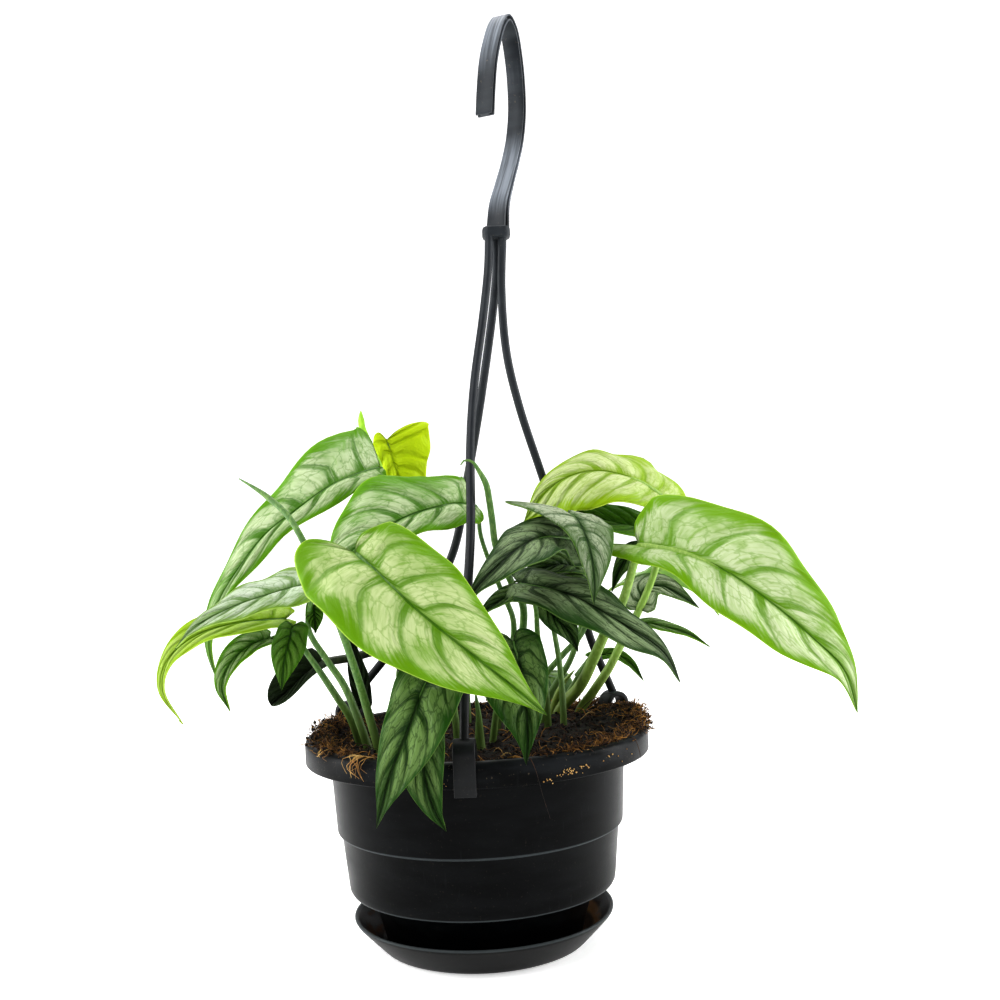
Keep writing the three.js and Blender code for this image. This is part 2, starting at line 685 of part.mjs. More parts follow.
        face: [[0.1, -0.6, 0.8], [0.2, -0.7, 0.7]],
        half: [12, 14], lobe: 7, fold: 8, sag: 2, wave: 1.2, outline: LANCE,
        stalk: [[21, -35, 156], [26, -30, 149], [28, -14, 131], [31, 0, 109], [32, 6, 80]],
        radii: [0.7, 1.8],
      },
      {
        ...small, rib: [[25, -33, 153], [16, -42, 152], [8, -51, 149], [1, -59, 145]],
        face: [[0, -0.6, 0.8], [-0.1, -0.7, 0.7]], half: [5, 5], fold: 16,
      },
    ],
  },
  leaf_under_long: {
    color: DARK,
    pieces: [
      {
        rib: [[25, -22, 155], [36, -23, 155], [48, -22, 152], [60, -18, 146], [73, -12, 136]],
        face: [[0, -0.5, 0.85], [0.2, -0.5, 0.8]],
        half: [9, 9], lobe: 5, fold: 8, wave: 0.8, outline: LANCE, rows: BLADE.smallRows,
        stalk: [[26, -22, 154], [32, -18, 146], [36, -12, 128], [38, -6, 108], [38, -4, 80]],
        radii: [0.7, 1.7],
      },
      {
        ...small, rib: [[30, -20, 148], [34, -19, 142], [41, -18, 134], [45, -17, 125]],
        face: [[0, -0.8, 0.5], [0, -0.9, 0.4]], half: [7, 6],
      },
    ],
  },
  stem_right_big: {
    color: LIME,
    pieces: [
      {
        rib: [[72, -26, 170], [84, -32, 168], [102, -42, 160], [120, -50, 146], [137, -52, 130],
          [149, -50, 117], [156, -44, 98]],
        face: [[-0.1, -0.8, 0.6], [0.1, -0.85, 0.5], [0.3, -0.85, 0.4]],
        half: [28, 19], lobe: 20, fold: 16, sag: 5, wave: 1.8, rows: BLADE.rows + 2,
        outlines: [ROUND, TONGUE],
        stalk: [[72, -24, 169], [70, -20, 162], [66, -10, 146], [59, 2, 131], [54, 12, 118], [48, 20, 105],
          [38, 29, 92], [34, 30, 80]],
        radii: [1.3, 3.2],
      },
      { stalk: [[46, 18, 113], [40, 24, 105], [36, 29, 94], [34, 30, 84]], radii: [0.6, 2.8] },
    ],
  },
  leaf_silver_saddle: {
    rib: [[43, -18, 185], [46, -28, 182], [49, -40, 172], [50, -48, 160], [49, -53, 148]],
    face: [[0.3, -0.3, 0.9], [0.15, -0.85, 0.5], [0.2, -0.98, 0.1]],
    half: [14, 29], lobe: 7, fold: 5, sag: 2, wave: 0.8, color: SILVER, outlines: [HEART, SADDLE],
    stalk: [[43, -16, 184], [48, -4, 172], [54, 6, 154], [50, 12, 136], [44, 16, 118], [33, 18, 100],
      [28, 18, 80]],
    radii: [0.7, 1.7],
  },
  stem_right_top: {
    color: LIME,
    pieces: [
      {
        rib: [[89, 12, 190], [79, 8, 197], [69, 4, 201], [58, 2, 203], [46, 3, 201], [36, 5, 195],
          [25, 6, 182]],
        face: [[0, -0.6, 0.8], [0, -0.65, 0.75], [-0.4, -0.7, 0.5]],
        half: [21, 22], lobe: 20, fold: 6, sag: 5, wave: 1, outlines: [FLANK, FULL],
        stalk: [[88, 12, 189], [88, 12, 175], [84, 11, 158], [75, 12, 138], [68, 16, 125], [62, 20, 113],
          [54, 24, 101], [48, 27, 92], [46, 28, 80]],
        radii: [1.2, 2.4],
      },
      {
        ...small, rib: [[86, 11, 174], [76, 8, 177], [64, 6, 180], [50, 4, 185], [38, 2, 188]],
        face: [[0, -0.5, 0.85], [0, -0.6, 0.8]], half: [12, 12],
      },
      {
        ...small, rib: [[76, 12, 140], [80, 22, 148], [88, 24, 149], [97, 20, 144], [104, 16, 139]],
        face: [[0, -0.6, 0.8], [0, -0.7, 0.7]], half: [8, 8],
      },
      {
        ...small, rib: [[71, 14, 131], [79, 11, 133], [88, 8, 131], [97, 4, 128], [105, 0, 123]],
        face: [[0, -0.6, 0.8], [0, -0.7, 0.7]], half: [3.4, 3.4], lobe: 1,
      },
      {
        ...small, rib: [[85, 11, 165], [73, 3, 166], [66, -1, 159], [62, -3, 149]],
        face: [[0, -0.7, 0.7], [0, -0.9, 0.3]], half: [6, 5],
      },
    ],
  },
  stem_right_back: {
    color: GREEN,
    pieces: [
      {
        ...small, rib: [[56, 43, 115], [67, 42, 116], [74, 40, 112], [80, 36, 104]],
        face: [[0, -0.5, 0.85], [0, -0.6, 0.8]], half: [4, 4],
        stalk: [[54.6, 43.2, 113.6], [50, 44, 107], [41, 45, 92], [36, 45, 80]], radii: [0.8, 1.8],
      },
      {
        rib: [[76, 50, 150], [92, 60, 155], [106, 67, 150], [118, 70, 140], [124, 70, 130]],
        face: [[0, 0.3, 0.95], [0.3, 0.4, 0.85]], half: [16, 16], lobe: 10, fold: 8, sag: 3, wave: 1.2,
        rows: BLADE.smallRows,
        stalk: [[76, 50, 149], [70, 47, 136], [60, 45, 120], [48.6, 44.6, 106]], radii: [0.7, 1.4],
      },
    ],
  },
  leaf_middle_hanging: {
    rib: [[16, -54, 135], [18, -64, 125], [19, -72, 114], [19, -79, 102], [18, -81, 91]],
    face: [[0, -0.8, 0.6], [0, -1, 0.1]],
    half: [11, 19], lobe: 6, fold: 8, sag: 2, wave: 0.8, rows: BLADE.smallRows, color: DARK,
    stalk: [[16, -52, 135], [13, -44, 122], [9, -34, 107], [5, -26, 80]],
    radii: [0.7, 1.8],
  },
  leaf_front_hanging: {
    rib: [[-13, -80, 130], [-18, -86, 125], [-24, -92, 111], [-32, -92, 93], [-39, -85, 71]],
    face: [[-0.1, -0.8, 0.5], [-0.2, -0.95, 0.2], [-0.2, -1, 0]],
    half: [15, 11], lobe: 6, fold: 10, sag: 2, wave: 1, color: DARK,
    stalk: [[-13, -79, 131], [-11, -66, 126], [-9, -52, 112], [-7, -42, 80]],
    radii: [0.7, 1.9],
  },
  leaf_front_hanging_short: {
    rib: [[-19, -78, 117], [-21, -83, 103], [-20, -84, 88], [-17, -82, 76], [-13, -79, 67]],
    face: [[0, -1, 0.1], [0, -1, 0]],
    half: [9, 10], lobe: 4, fold: 8, wave: 0.8, outline: LANCE, rows: BLADE.smallRows, color: DARK,
    stalk: [[-19, -77, 117], [-20, -66, 120], [-18, -54, 110], [-16, -44, 80]],
    radii: [0.7, 1.7],
  },
  leaf_curled_dark: {
    ...small, rib: [[-67, 4, 123], [-74, 0, 119], [-82, -4, 112], [-89, -6, 107]],
    face: [[-0.3, -0.7, 0.6], [-0.4, -0.8, 0.3]], half: [7, 8], fold: 34, color: DARK,
    outlines: [BLUNT, BLUNT],
    stalk: [[-66, 5, 123], [-55, 10, 124], [-40, 16, 125], [-30, 20, 111], [-23, 22, 96], [-21, 22, 80]],
    radii: [1.9, 1.9],
  },
  leaf_narrow_dark: {
    ...small, rib: [[-50, 8, 104], [-51, 6, 114], [-53, 4, 126], [-54, 2, 138]],
    face: [[0, -1, 0], [0, -1, 0]], half: [4.5, 4.5], fold: 20, color: DARK,
    stalk: [[-49, 8, 104], [-47, 8, 98], [-43, 6, 80]], radii: [0.7, 1.5],
  },
  sheath_front: {
    stalk: [[0, -42, 114], [1, -39, 104], [1, -36, 94], [1, -35, 80]], radii: [0.6, 3.4], color: GREEN,
  },
  leaf_back_left: {
    rib: [[-12, 56, 152], [-24, 68, 156], [-38, 78, 152], [-50, 86, 142], [-58, 90, 128]],
    face: [[-0.2, 0.3, 0.9], [-0.4, 0.5, 0.75]],
    half: [16, 16], lobe: 10, fold: 8, sag: 3, wave: 1.2, rows: BLADE.smallRows, color: GREEN,
    stalk: [[-11, 55, 151], [-6, 44, 130], [-4, 34, 105], [-4, 30, 80]], radii: [0.7, 1.8],
  },
  leaf_back_hanging: {
    rib: [[-27, 66, 116], [-30, 84, 111], [-32, 96, 94], [-33, 100, 70], [-32, 98, 52]],
    face: [[-0.2, 0.4, 0.9], [-0.3, 1, 0]],
    half: [10, 10], lobe: 6, fold: 8, sag: 2, wave: 1, rows: BLADE.smallRows, color: DARK,
    stalk: [[-26, 65, 116], [-23, 52, 114], [-20, 40, 100], [-18, 36, 80]], radii: [0.7, 1.8],
  },
  leaf_back_hanging_short: {
    rib: [[32, 70, 104], [38, 86, 102], [43, 97, 88], [45, 99, 66]],
    face: [[0.2, 0.4, 0.9], [0.3, 1, 0]],
    half: [12, 12], lobe: 7, fold: 8, sag: 2, wave: 1, rows: BLADE.smallRows, color: DARK,
    stalk: [[31, 69, 104], [27, 58, 103], [23, 47, 94], [22, 42, 80]], radii: [0.7, 1.7],
  },
};

const LEAF_ROUGHNESS = 0.5;
const PLASTIC = { color: 0x1d2022, roughness: 0.45, metalness: 0 };

const group = new THREE.Group();

function addNode(name, solid, finish) {
  const mesh = new THREE.Mesh(toGeometry(solid), new THREE.MeshStandardMaterial(finish));
  mesh.name = name;
  group.add(mesh);
}

addNode('saucer', makeSaucer(), PLASTIC);
addNode('pot', makePot(), PLASTIC);
addNode('hanger_hook', makeHook(), { ...PLASTIC, color: 0x3a4146 });
for (const [name, arm] of Object.entries(ARMS)) addNode(name, makeArm(arm), { ...PLASTIC, color: 0x2c3135 });

const holes = Object.values(ARMS).map(clipRoom);
for (const [name, leaf] of Object.entries(LEAVES)) {
  addNode(name, makeLeaf(leaf), { color: leaf.color, roughness: LEAF_ROUGHNESS, metalness: 0 });
  for (const piece of leaf.pieces ?? [leaf]) {
    if (piece.stalk) holes.push(stalkSolid(piece, STALK.socket));
  }
}
addNode('soil', makeSoil(holes), { color: 0x33231a, roughness: 0.95, metalness: 0 });

export default group;
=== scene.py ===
"""A young trailing monstera in a black hanging pot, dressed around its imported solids."""

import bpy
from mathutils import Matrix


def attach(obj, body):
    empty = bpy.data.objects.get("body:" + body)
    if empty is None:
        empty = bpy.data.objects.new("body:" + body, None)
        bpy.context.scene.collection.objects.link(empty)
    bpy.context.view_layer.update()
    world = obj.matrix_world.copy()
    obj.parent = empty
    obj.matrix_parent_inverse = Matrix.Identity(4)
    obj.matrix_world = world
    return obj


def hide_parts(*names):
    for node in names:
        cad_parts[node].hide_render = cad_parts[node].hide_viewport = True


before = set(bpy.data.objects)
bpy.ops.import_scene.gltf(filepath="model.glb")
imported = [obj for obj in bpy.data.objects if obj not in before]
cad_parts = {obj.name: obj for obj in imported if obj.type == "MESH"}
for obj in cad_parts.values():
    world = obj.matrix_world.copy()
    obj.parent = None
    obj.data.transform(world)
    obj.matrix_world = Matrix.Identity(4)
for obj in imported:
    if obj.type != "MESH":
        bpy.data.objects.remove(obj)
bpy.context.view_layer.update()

import logging
import math
import random
from contextlib import contextmanager
from dataclasses import dataclass, field
from enum import Enum
from typing import Iterator, Sequence, Union

import bmesh
import bpy
import numpy as np
from mathutils import Matrix, Vector, noise

log = logging.getLogger("potted_plant")

MM = 0.001
TURN = 2 * math.pi
BODY = "root"
SHARP_EDGE = 32
Point = tuple[float, float, float]
Pair = tuple[float, float]
Number = Union[float, "Wire"]
Key = Union[str, int]
Piece = bpy.types.Object
Material = bpy.types.Material
Spot = tuple[Vector, Matrix]


# Curves


def polar(radius: float, angle: float, height: float) -> Point:
    """Gives the place at a radius, an angle in radians and a height."""
    return radius * math.cos(angle), radius * math.sin(angle), height


def cubic(ends: Sequence[np.ndarray], slopes: Sequence[np.ndarray], t: np.ndarray) -> np.ndarray:
    """Runs a cubic from one place to the next.

    Args:
        ends: The two places.
        slopes: The slopes with which it leaves and arrives.
        t: Where to read it, from 0 to 1.

    Returns:
        The places, one row each.
    """
    (b, c), (leave, arrive) = ends, slopes
    return (
        b + leave * t + (3 * (c - b) - 2 * leave - arrive) * t**2
        + (2 * (b - c) + leave + arrive) * t**3
    )


def smooth_path(points: Sequence[Sequence[float]], per_span: int = 24) -> np.ndarray:
    """Runs a centripetal curve through the points.

    Args:
        points: The places it passes through.
        per_span: How many samples lie between two of them.

    Returns:
        The samples, one row each.
    """
    p = np.asarray(points, float)
    p = np.vstack([2 * p[0] - p[1], p, 2 * p[-1] - p[-2]])
    rows = []
    for k in range(1, len(p) - 2):
        a, b, c, d = p[k - 1 : k + 3]
        s0, s1, s2 = (max(np.sum((v - u) ** 2) ** 0.25, 1e-6) for u, v in ((a, b), (b, c), (c, d)))
        leave = ((b - a) / s0 - (c - a) / (s0 + s1) + (c - b) / s1) * s1
        arrive = ((c - b) / s1 - (d - b) / (s1 + s2) + (d - c) / s2) * s1
        t = np.linspace(0, 1, per_span, endpoint=False)[:, None]
        rows.append(cubic((b, c), (leave, arrive), t))
    rows.append(p[-2][None, :])
    return np.vstack(rows)


def even_spline(points: Sequence[Pair], at: np.ndarray) -> np.ndarray:
    """Reads an evenly timed spline through 2-D points.

    Args:
        points: The places it passes through.
        at: Where to read it, from 0 at the first to 1 at the last.

    Returns:
        One (x, y) row for each reading.
    """
    p = np.asarray(points, float)
    spot = np.clip(at, 0, 1) * (len(p) - 1)
    k = np.minimum(spot.astype(int), len(p) - 2)
    t = (spot - k)[:, None]
    a, b = p[np.maximum(k - 1, 0)], p[k]
    c, d = p[k + 1], p[np.minimum(k + 2, len(p) - 1)]
    return cubic((b, c), ((c - a) / 2, (d - b) / 2), t)


class Rail:
    """A smooth path that is read by its share of length."""

    def __init__(self, points: Sequence[Point]) -> None:
        """Lays the path through the points.

        Args:
            points: The places that it passes through.
        """
        self.samples = smooth_path(points)
        steps = np.linalg.norm(np.diff(self.samples, axis=0), axis=1)
        travelled = np.concatenate([[0], np.cumsum(steps)])
        self.length = float(travelled[-1])
        self.shares = travelled / self.length
        slopes = np.gradient(self.samples, travelled, axis=0)
        self.slopes = slopes / np.linalg.norm(slopes, axis=1, keepdims=True)

    def _read(self, table: np.ndarray, share: np.ndarray) -> np.ndarray:
        """Reads each column of a table at the shares."""
        return np.stack([np.interp(share, self.shares, column) for column in table.T], axis=-1)

    def place(self, share: np.ndarray) -> np.ndarray:
        """Gives the places at the shares of length."""
        return self._read(self.samples, np.asarray(share, float))

    def heading(self, share: np.ndarray) -> np.ndarray:
        """Gives the directions of travel at the shares of length."""
        found = self._read(self.slopes, np.asarray(share, float))
        return found / np.linalg.norm(found, axis=-1, keepdims=True)


# Modelling by operators


def drop_selection() -> None:
    """Leaves object mode with nothing selected."""
    if bpy.context.object and bpy.context.object.mode != "OBJECT":
        bpy.ops.object.mode_set(mode="OBJECT")
    bpy.ops.object.select_all(action="DESELECT")


def take(piece: Piece) -> None:
    """Makes one piece the only selected and active one.

    Args:
        piece: The piece to be worked on.
    """
    drop_selection()
    piece.select_set(True)
    bpy.context.view_layer.objects.active = piece


@contextmanager
def editing(piece: Piece) -> Iterator[None]:
    """Opens a piece in edit mode, all of it selected, for as long as the block runs.

    Args:
        piece: The piece to be edited.

    Yields:
        Nothing, once the piece is open.
    """
    take(piece)
    bpy.ops.object.mode_set(mode="EDIT")
    bpy.ops.mesh.select_all(action="SELECT")
    yield
    bpy.ops.object.mode_set(mode="OBJECT")


def fresh(name: str) -> Piece:
    """Names the new active object and its mesh.

    Args:
        name: The name.

    Returns:
        The object.
    """
    piece = bpy.context.object
    piece.name = piece.data.name = name
    return piece


def drop_maps(mesh: bpy.types.Mesh) -> None:
    """Takes every UV map off a mesh."""
    while mesh.uv_layers:
        mesh.uv_layers.remove(mesh.uv_layers[0])


def get_points(piece: Piece) -> np.ndarray:
    """Gives the places of a piece's vertices, one row each.

    Args:
        piece: The piece to be read.

    Returns:
        The places in metres.
    """
    flat = np.empty(len(piece.data.vertices) * 3, np.float32)
    piece.data.vertices.foreach_get("co", flat)
    return flat.reshape(-1, 3).astype(float)


def add_modifier(piece: Piece, kind: str, **settings: object) -> None:
    """Adds a modifier with its settings and applies it.

    Args:
        piece: The piece to be changed.
        kind: The modifier's type.
        **settings: Its properties.
    """
    take(piece)
    modifier = piece.modifiers.new(kind.title(), kind)
    for key, value in settings.items():
        setattr(modifier, key, value)
    bpy.ops.object.modifier_apply(modifier=modifier.name)


def round_edges(piece: Piece, width_mm: float, segments: int = 2) -> None:
    """Rounds the sharp edges of a piece.

    Args:
        piece: The piece to be changed.
        width_mm: How wide the rounding is.
        segments: How many faces go round it.
    """
    add_modifier(
        piece, "BEVEL", width=width_mm * MM, segments=segments, limit_method="ANGLE",
        angle_limit=math.radians(SHARP_EDGE), use_clamp_overlap=True,
    )


def shade_soft(piece: Piece, angle: float = 40) -> None:
    """Shades a piece smooth across its gentle edges."""
    take(piece)
    bpy.ops.object.shade_smooth_by_angle(angle=math.radians(angle))


def loft(name: str, rings: Sequence[np.ndarray]) -> Piece:
    """Extrudes one ring of points after another into a skin with a cap at each end.

    Args:
        name: The piece's name.
        rings: Rings of places in millimetres, all with as many points.

    Returns:
        The piece, with its skin facing outwards.
    """
    count = len(rings[0])
    bpy.ops.mesh.primitive_circle_add(vertices=count, radius=1.0, fill_type="NOTHING")
    piece = fresh(name)
    with editing(piece):
        mesh = bmesh.from_edit_mesh(piece.data)
        order = mesh.verts.layers.int.new("order")
        for k, vertex in enumerate(mesh.verts):
            vertex[order] = k
            vertex.co = Vector(rings[0][k]) * MM
        bmesh.update_edit_mesh(piece.data)
        for ring in rings[1:]:
            bpy.ops.mesh.extrude_region_move()
            mesh = bmesh.from_edit_mesh(piece.data)
            order = mesh.verts.layers.int["order"]
            for vertex in mesh.verts:
                if vertex.select:
                    vertex.co = Vector(ring[vertex[order]]) * MM
            bmesh.update_edit_mesh(piece.data)
        bpy.ops.mesh.select_all(action="SELECT")
        bpy.ops.mesh.fill_holes(sides=0)
        bpy.ops.mesh.select_all(action="SELECT")
        bpy.ops.mesh.normals_make_consistent(inside=False)
    piece.data.attributes.remove(piece.data.attributes["order"])
    return piece


def turned(name: str, profile: Sequence[Pair], steps: int = 128, tightest: float = 0.6) -> Piece:
    """Turns a profile of (radius, height) about the upright axis.

    Args:
        name: The piece's name.
        profile: Radii and heights in millimetres.
        steps: How many sides it gets.
        tightest: The radius that stands for a point on the axis.

    Returns:
        The piece.
    """
    angle = np.linspace(0, TURN, steps, endpoint=False)
    rings = []
    for radius, height in profile:
        r = max(radius, tightest)
        z = np.full(steps, height)
        rings.append(np.stack([r * np.cos(angle), r * np.sin(angle), z], axis=1))
    return loft(name, rings)


def rod(name: str, points: np.ndarray, radii: np.ndarray, fine: int = 3) -> Piece:
    """Draws a round rod along a path as a bevelled curve made mesh.

    Args:
        name: The piece's name.
        points: Places along it in millimetres.
        radii: Its radius at each of them in millimetres.
        fine: The bevel's resolution.

    Returns:
        The rod as a closed mesh.
    """
    drop_selection()
    bpy.ops.curve.primitive_nurbs_path_add()
    piece = fresh(name)
    curve = piece.data
    curve.splines.clear()
    spline = curve.splines.new("POLY")
    spline.points.add(len(points) - 1)
    for knot, place, radius in zip(spline.points, points, radii):
        knot.co = (*(Vector(place) * MM), 1)
        knot.radius = float(radius)
    curve.dimensions = "3D"
    curve.bevel_depth = MM
    curve.bevel_resolution = fine
    curve.use_fill_caps = True
    take(piece)
    bpy.ops.object.convert(target="MESH")
    piece = bpy.context.object
    with editing(piece):
        bpy.ops.mesh.remove_doubles(threshold=0.02 * MM)
        bpy.ops.mesh.normals_make_consistent(inside=False)
    drop_maps(piece.data)
    bpy.ops.object.shade_smooth()
    return piece


def joined(name: str, pieces: Sequence[Piece]) -> Piece:
    """Joins pieces into one that bears the name.

    Args:
        name: The name of the whole.
        pieces: The pieces, the first of which stays.

    Returns:
        The whole.
    """
    drop_selection()
    for piece in pieces:
        piece.select_set(True)
    bpy.context.view_layer.objects.active = pieces[0]
    if len(pieces) > 1:
        bpy.ops.object.join()
    return fresh(name)


def hand_over(
    piece: Piece, nodes: Sequence[str] = (),
    finish: Material | None = None,
) -> None:
    """Fixes a finished piece to the frame.

    Args:
        piece: The piece.
        nodes: The solids that it stands for.
        finish: Its material, if it has none yet.
    """
    if finish:
        piece.data.materials.clear()
        piece.data.materials.append(finish)
    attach(piece, BODY)
    if nodes:
        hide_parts(*nodes)
    log.info("made %s with %d faces", piece.name, len(piece.data.polygons))


# Finishes


def colour(code: str) -> tuple[float, float, float, float]:
    """Turns a screen colour such as 7a9c3f into the shader's linear numbers.

    Args:
        code: Red, green and blue, two digits each.

    Returns:
        The colour, not see-through.
    """
    parts = [int(code[k : k + 2], 16) / 255 for k in (0, 2, 4)]
    linear = [p / 12.92 if p <= 0.04045 else ((p + 0.055) / 1.055) ** 2.4 for p in parts]
    return (*linear, 1.0)


class Wire:
    """A socket on which Python arithmetic adds Math nodes."""

    def __init__(self, shop: "Workshop", socket: bpy.types.NodeSocket) -> None:
        """Holds the socket and the workshop that made it."""
        self.shop = shop
        self.socket = socket

    def __add__(self, other: Number) -> "Wire":
        """Adds."""
        return self.shop.sum("ADD", self, other)

    __radd__ = __add__

    def __sub__(self, other: Number) -> "Wire":
        """Takes away."""
        return self.shop.sum("SUBTRACT", self, other)

    def __rsub__(self, other: Number) -> "Wire":
        """Takes this from a number."""
        return self.shop.sum("SUBTRACT", other, self)

    def __mul__(self, other: Number) -> "Wire":
        """Multiplies."""
        return self.shop.sum("MULTIPLY", self, other)

    __rmul__ = __mul__

    def __truediv__(self, other: Number) -> "Wire":
        """Divides."""
        return self.shop.sum("DIVIDE", self, other)

    def __pow__(self, other: Number) -> "Wire":
        """Raises to a power."""
        return self.shop.sum("POWER", self, other)

    def __abs__(self) -> "Wire":
        """Drops the sign."""
        return self.shop.sum("ABSOLUTE", self)

    def rise(self, low: float, high: float) -> "Wire":
        """Goes smoothly from 0 at low to 1 at high."""
        return self.shop.node(
            "MapRange", {"interpolation_type": "SMOOTHSTEP"},
            {"Value": self, "From Min": low, "From Max": high},
        )

    def fall(self, low: float, high: float) -> "Wire":
        """Goes smoothly from 1 at low to 0 at high."""
        return 1 - self.rise(low, high)


class Workshop:
    """Builds one material out of nodes."""

    def __init__(self, name: str) -> None:
        """Starts a material with nothing but its output.

        Args:
            name: The material's name.
        """
        self.material = bpy.data.materials.new(name)
        self.material.use_nodes = True
        self.tree = self.material.node_tree
        self.tree.nodes.clear()

    def node(
        self, kind: str, settings: dict[str, object] | None = None,
        inputs: dict[Key, object] | None = None, output: Key = 0,
    ) -> Wire:
        """Makes one node.

        Args:
            kind: The node's type, without what all types begin with.
            settings: Its own properties, set first.
            inputs: Values or wires for its sockets, by name or place.
            output: The output that is wanted.

        Returns:
            The output as a wire.
        """
        made = self.tree.nodes.new("ShaderNode" + kind)
        for key, value in (settings or {}).items():
            setattr(made, key, value)
        for key, value in (inputs or {}).items():
            if isinstance(value, Wire):
                self.tree.links.new(value.socket, made.inputs[key])
            else:
                made.inputs[key].default_value = value
        return Wire(self, made.outputs[output]) if len(made.outputs) else Wire(self, None)

    def sum(self, operation: str, *values: Number) -> Wire:
        """Makes a Math node of the values."""
        return self.node("Math", {"operation": operation}, dict(enumerate(values)))

    def mix(self, share: Number, *colours: Union[Wire, str]) -> Wire:
        """Mixes two colours, each a wire or a screen colour."""
        first, second = (colour(c) if isinstance(c, str) else c for c in colours)
        return self.node("Mix", {"data_type": "RGBA"}, {0: share, 6: first, 7: second}, output=2)

    def place(self, stretch: Point = (1, 1, 1)) -> Wire:
        """Gives Object coordinates, stretched along the axes.

        Args:
            stretch: The factor along each axis.

        Returns:
            The place in metres, stretched.
        """
        raw = self.node("TexCoord", output="Object")
        if stretch == (1, 1, 1):
            return raw
        return self.node("VectorMath", {"operation": "MULTIPLY"}, {0: raw, 1: stretch})

    def parts(self, place: Wire) -> tuple[Wire, Wire, Wire]:
        """Splits a place into its three numbers.

        Args:
            place: The place to be split.

        Returns:
            Its three numbers.
        """
        split = self.node("SeparateXYZ", inputs={0: place})
        x, y, z = (Wire(self, socket) for socket in split.socket.node.outputs)
        return x, y, z

    def map(self, name: str) -> tuple[Wire, Wire]:
        """Gives the two numbers of a UV map."""
        return self.parts(self.node("UVMap", {"uv_map": name}))[:2]

    def pair(self, first: Number, second: Number) -> Wire:
        """Makes a place out of two numbers."""
        return self.node("CombineXYZ", inputs={0: first, 1: second})

    def wander(self, place: Wire, scale: float, reach: float) -> Wire:
        """Shifts a place by soft noise, to break up a regular pattern.

        Args:
            place: The place to be shifted.
            scale: How many bumps the noise has.
            reach: How far it shifts.

        Returns:
            The shifted place.
        """
        drift = self.node(
            "TexNoise", inputs={"Vector": place, "Scale": scale, "Detail": 2}, output=1
        )
        return self.node(
            "VectorMath", {"operation": "MULTIPLY_ADD"},
            {0: drift, 1: (reach,) * 3, 2: place},
        )

    def cloud(self, scale: float, detail: float = 3, at: Wire | None = None) -> Wire:
        """Makes soft noise around one half; scale is in bumps per metre.

        Args:
            scale: How fine it is.
            detail: How many finer layers it has.
            at: Where it is read, if not in the object's own space.

        Returns:
            The noise.
        """
        return self.node(
            "TexNoise", inputs={
                "Vector": at or self.place(), "Scale": scale, "Detail": detail, "Roughness": 0.55,
            },
        )

    def cells(self, at: Wire) -> Wire:
        """Makes the distance to the edges of cells that are one unit wide."""
        return self.node(
            "TexVoronoi", {"feature": "DISTANCE_TO_EDGE"}, {"Vector": at, "Scale": 1.0}
        )

    def relief(self, height: Wire, depth_mm: float, strength: float) -> Wire:
        """Turns a height from 0 to 1 into a bumped normal."""
        return self.node("Bump", inputs={
            "Strength": strength, "Distance": depth_mm * MM, "Height": height,
        })

    def surface(self, see_through: object = None, share: float = 0.0, **sockets: object) -> None:
        """Ends the material in its shader.

        Args:
            see_through: The colour of light that passes a leaf, if any does.
            share: How much passes.
            **sockets: The shader's sockets, with spaces as underscores.
        """
        names = {key.replace("_", " "): value for key, value in sockets.items()}
        shader = self.node("BsdfPrincipled", inputs=names)
        if see_through is not None:
            glow = self.node("BsdfTranslucent", inputs={"Color": see_through})
            shader = self.node("MixShader", inputs={0: share, 1: shader, 2: glow})
        self.node("OutputMaterial", inputs={"Surface": shader})


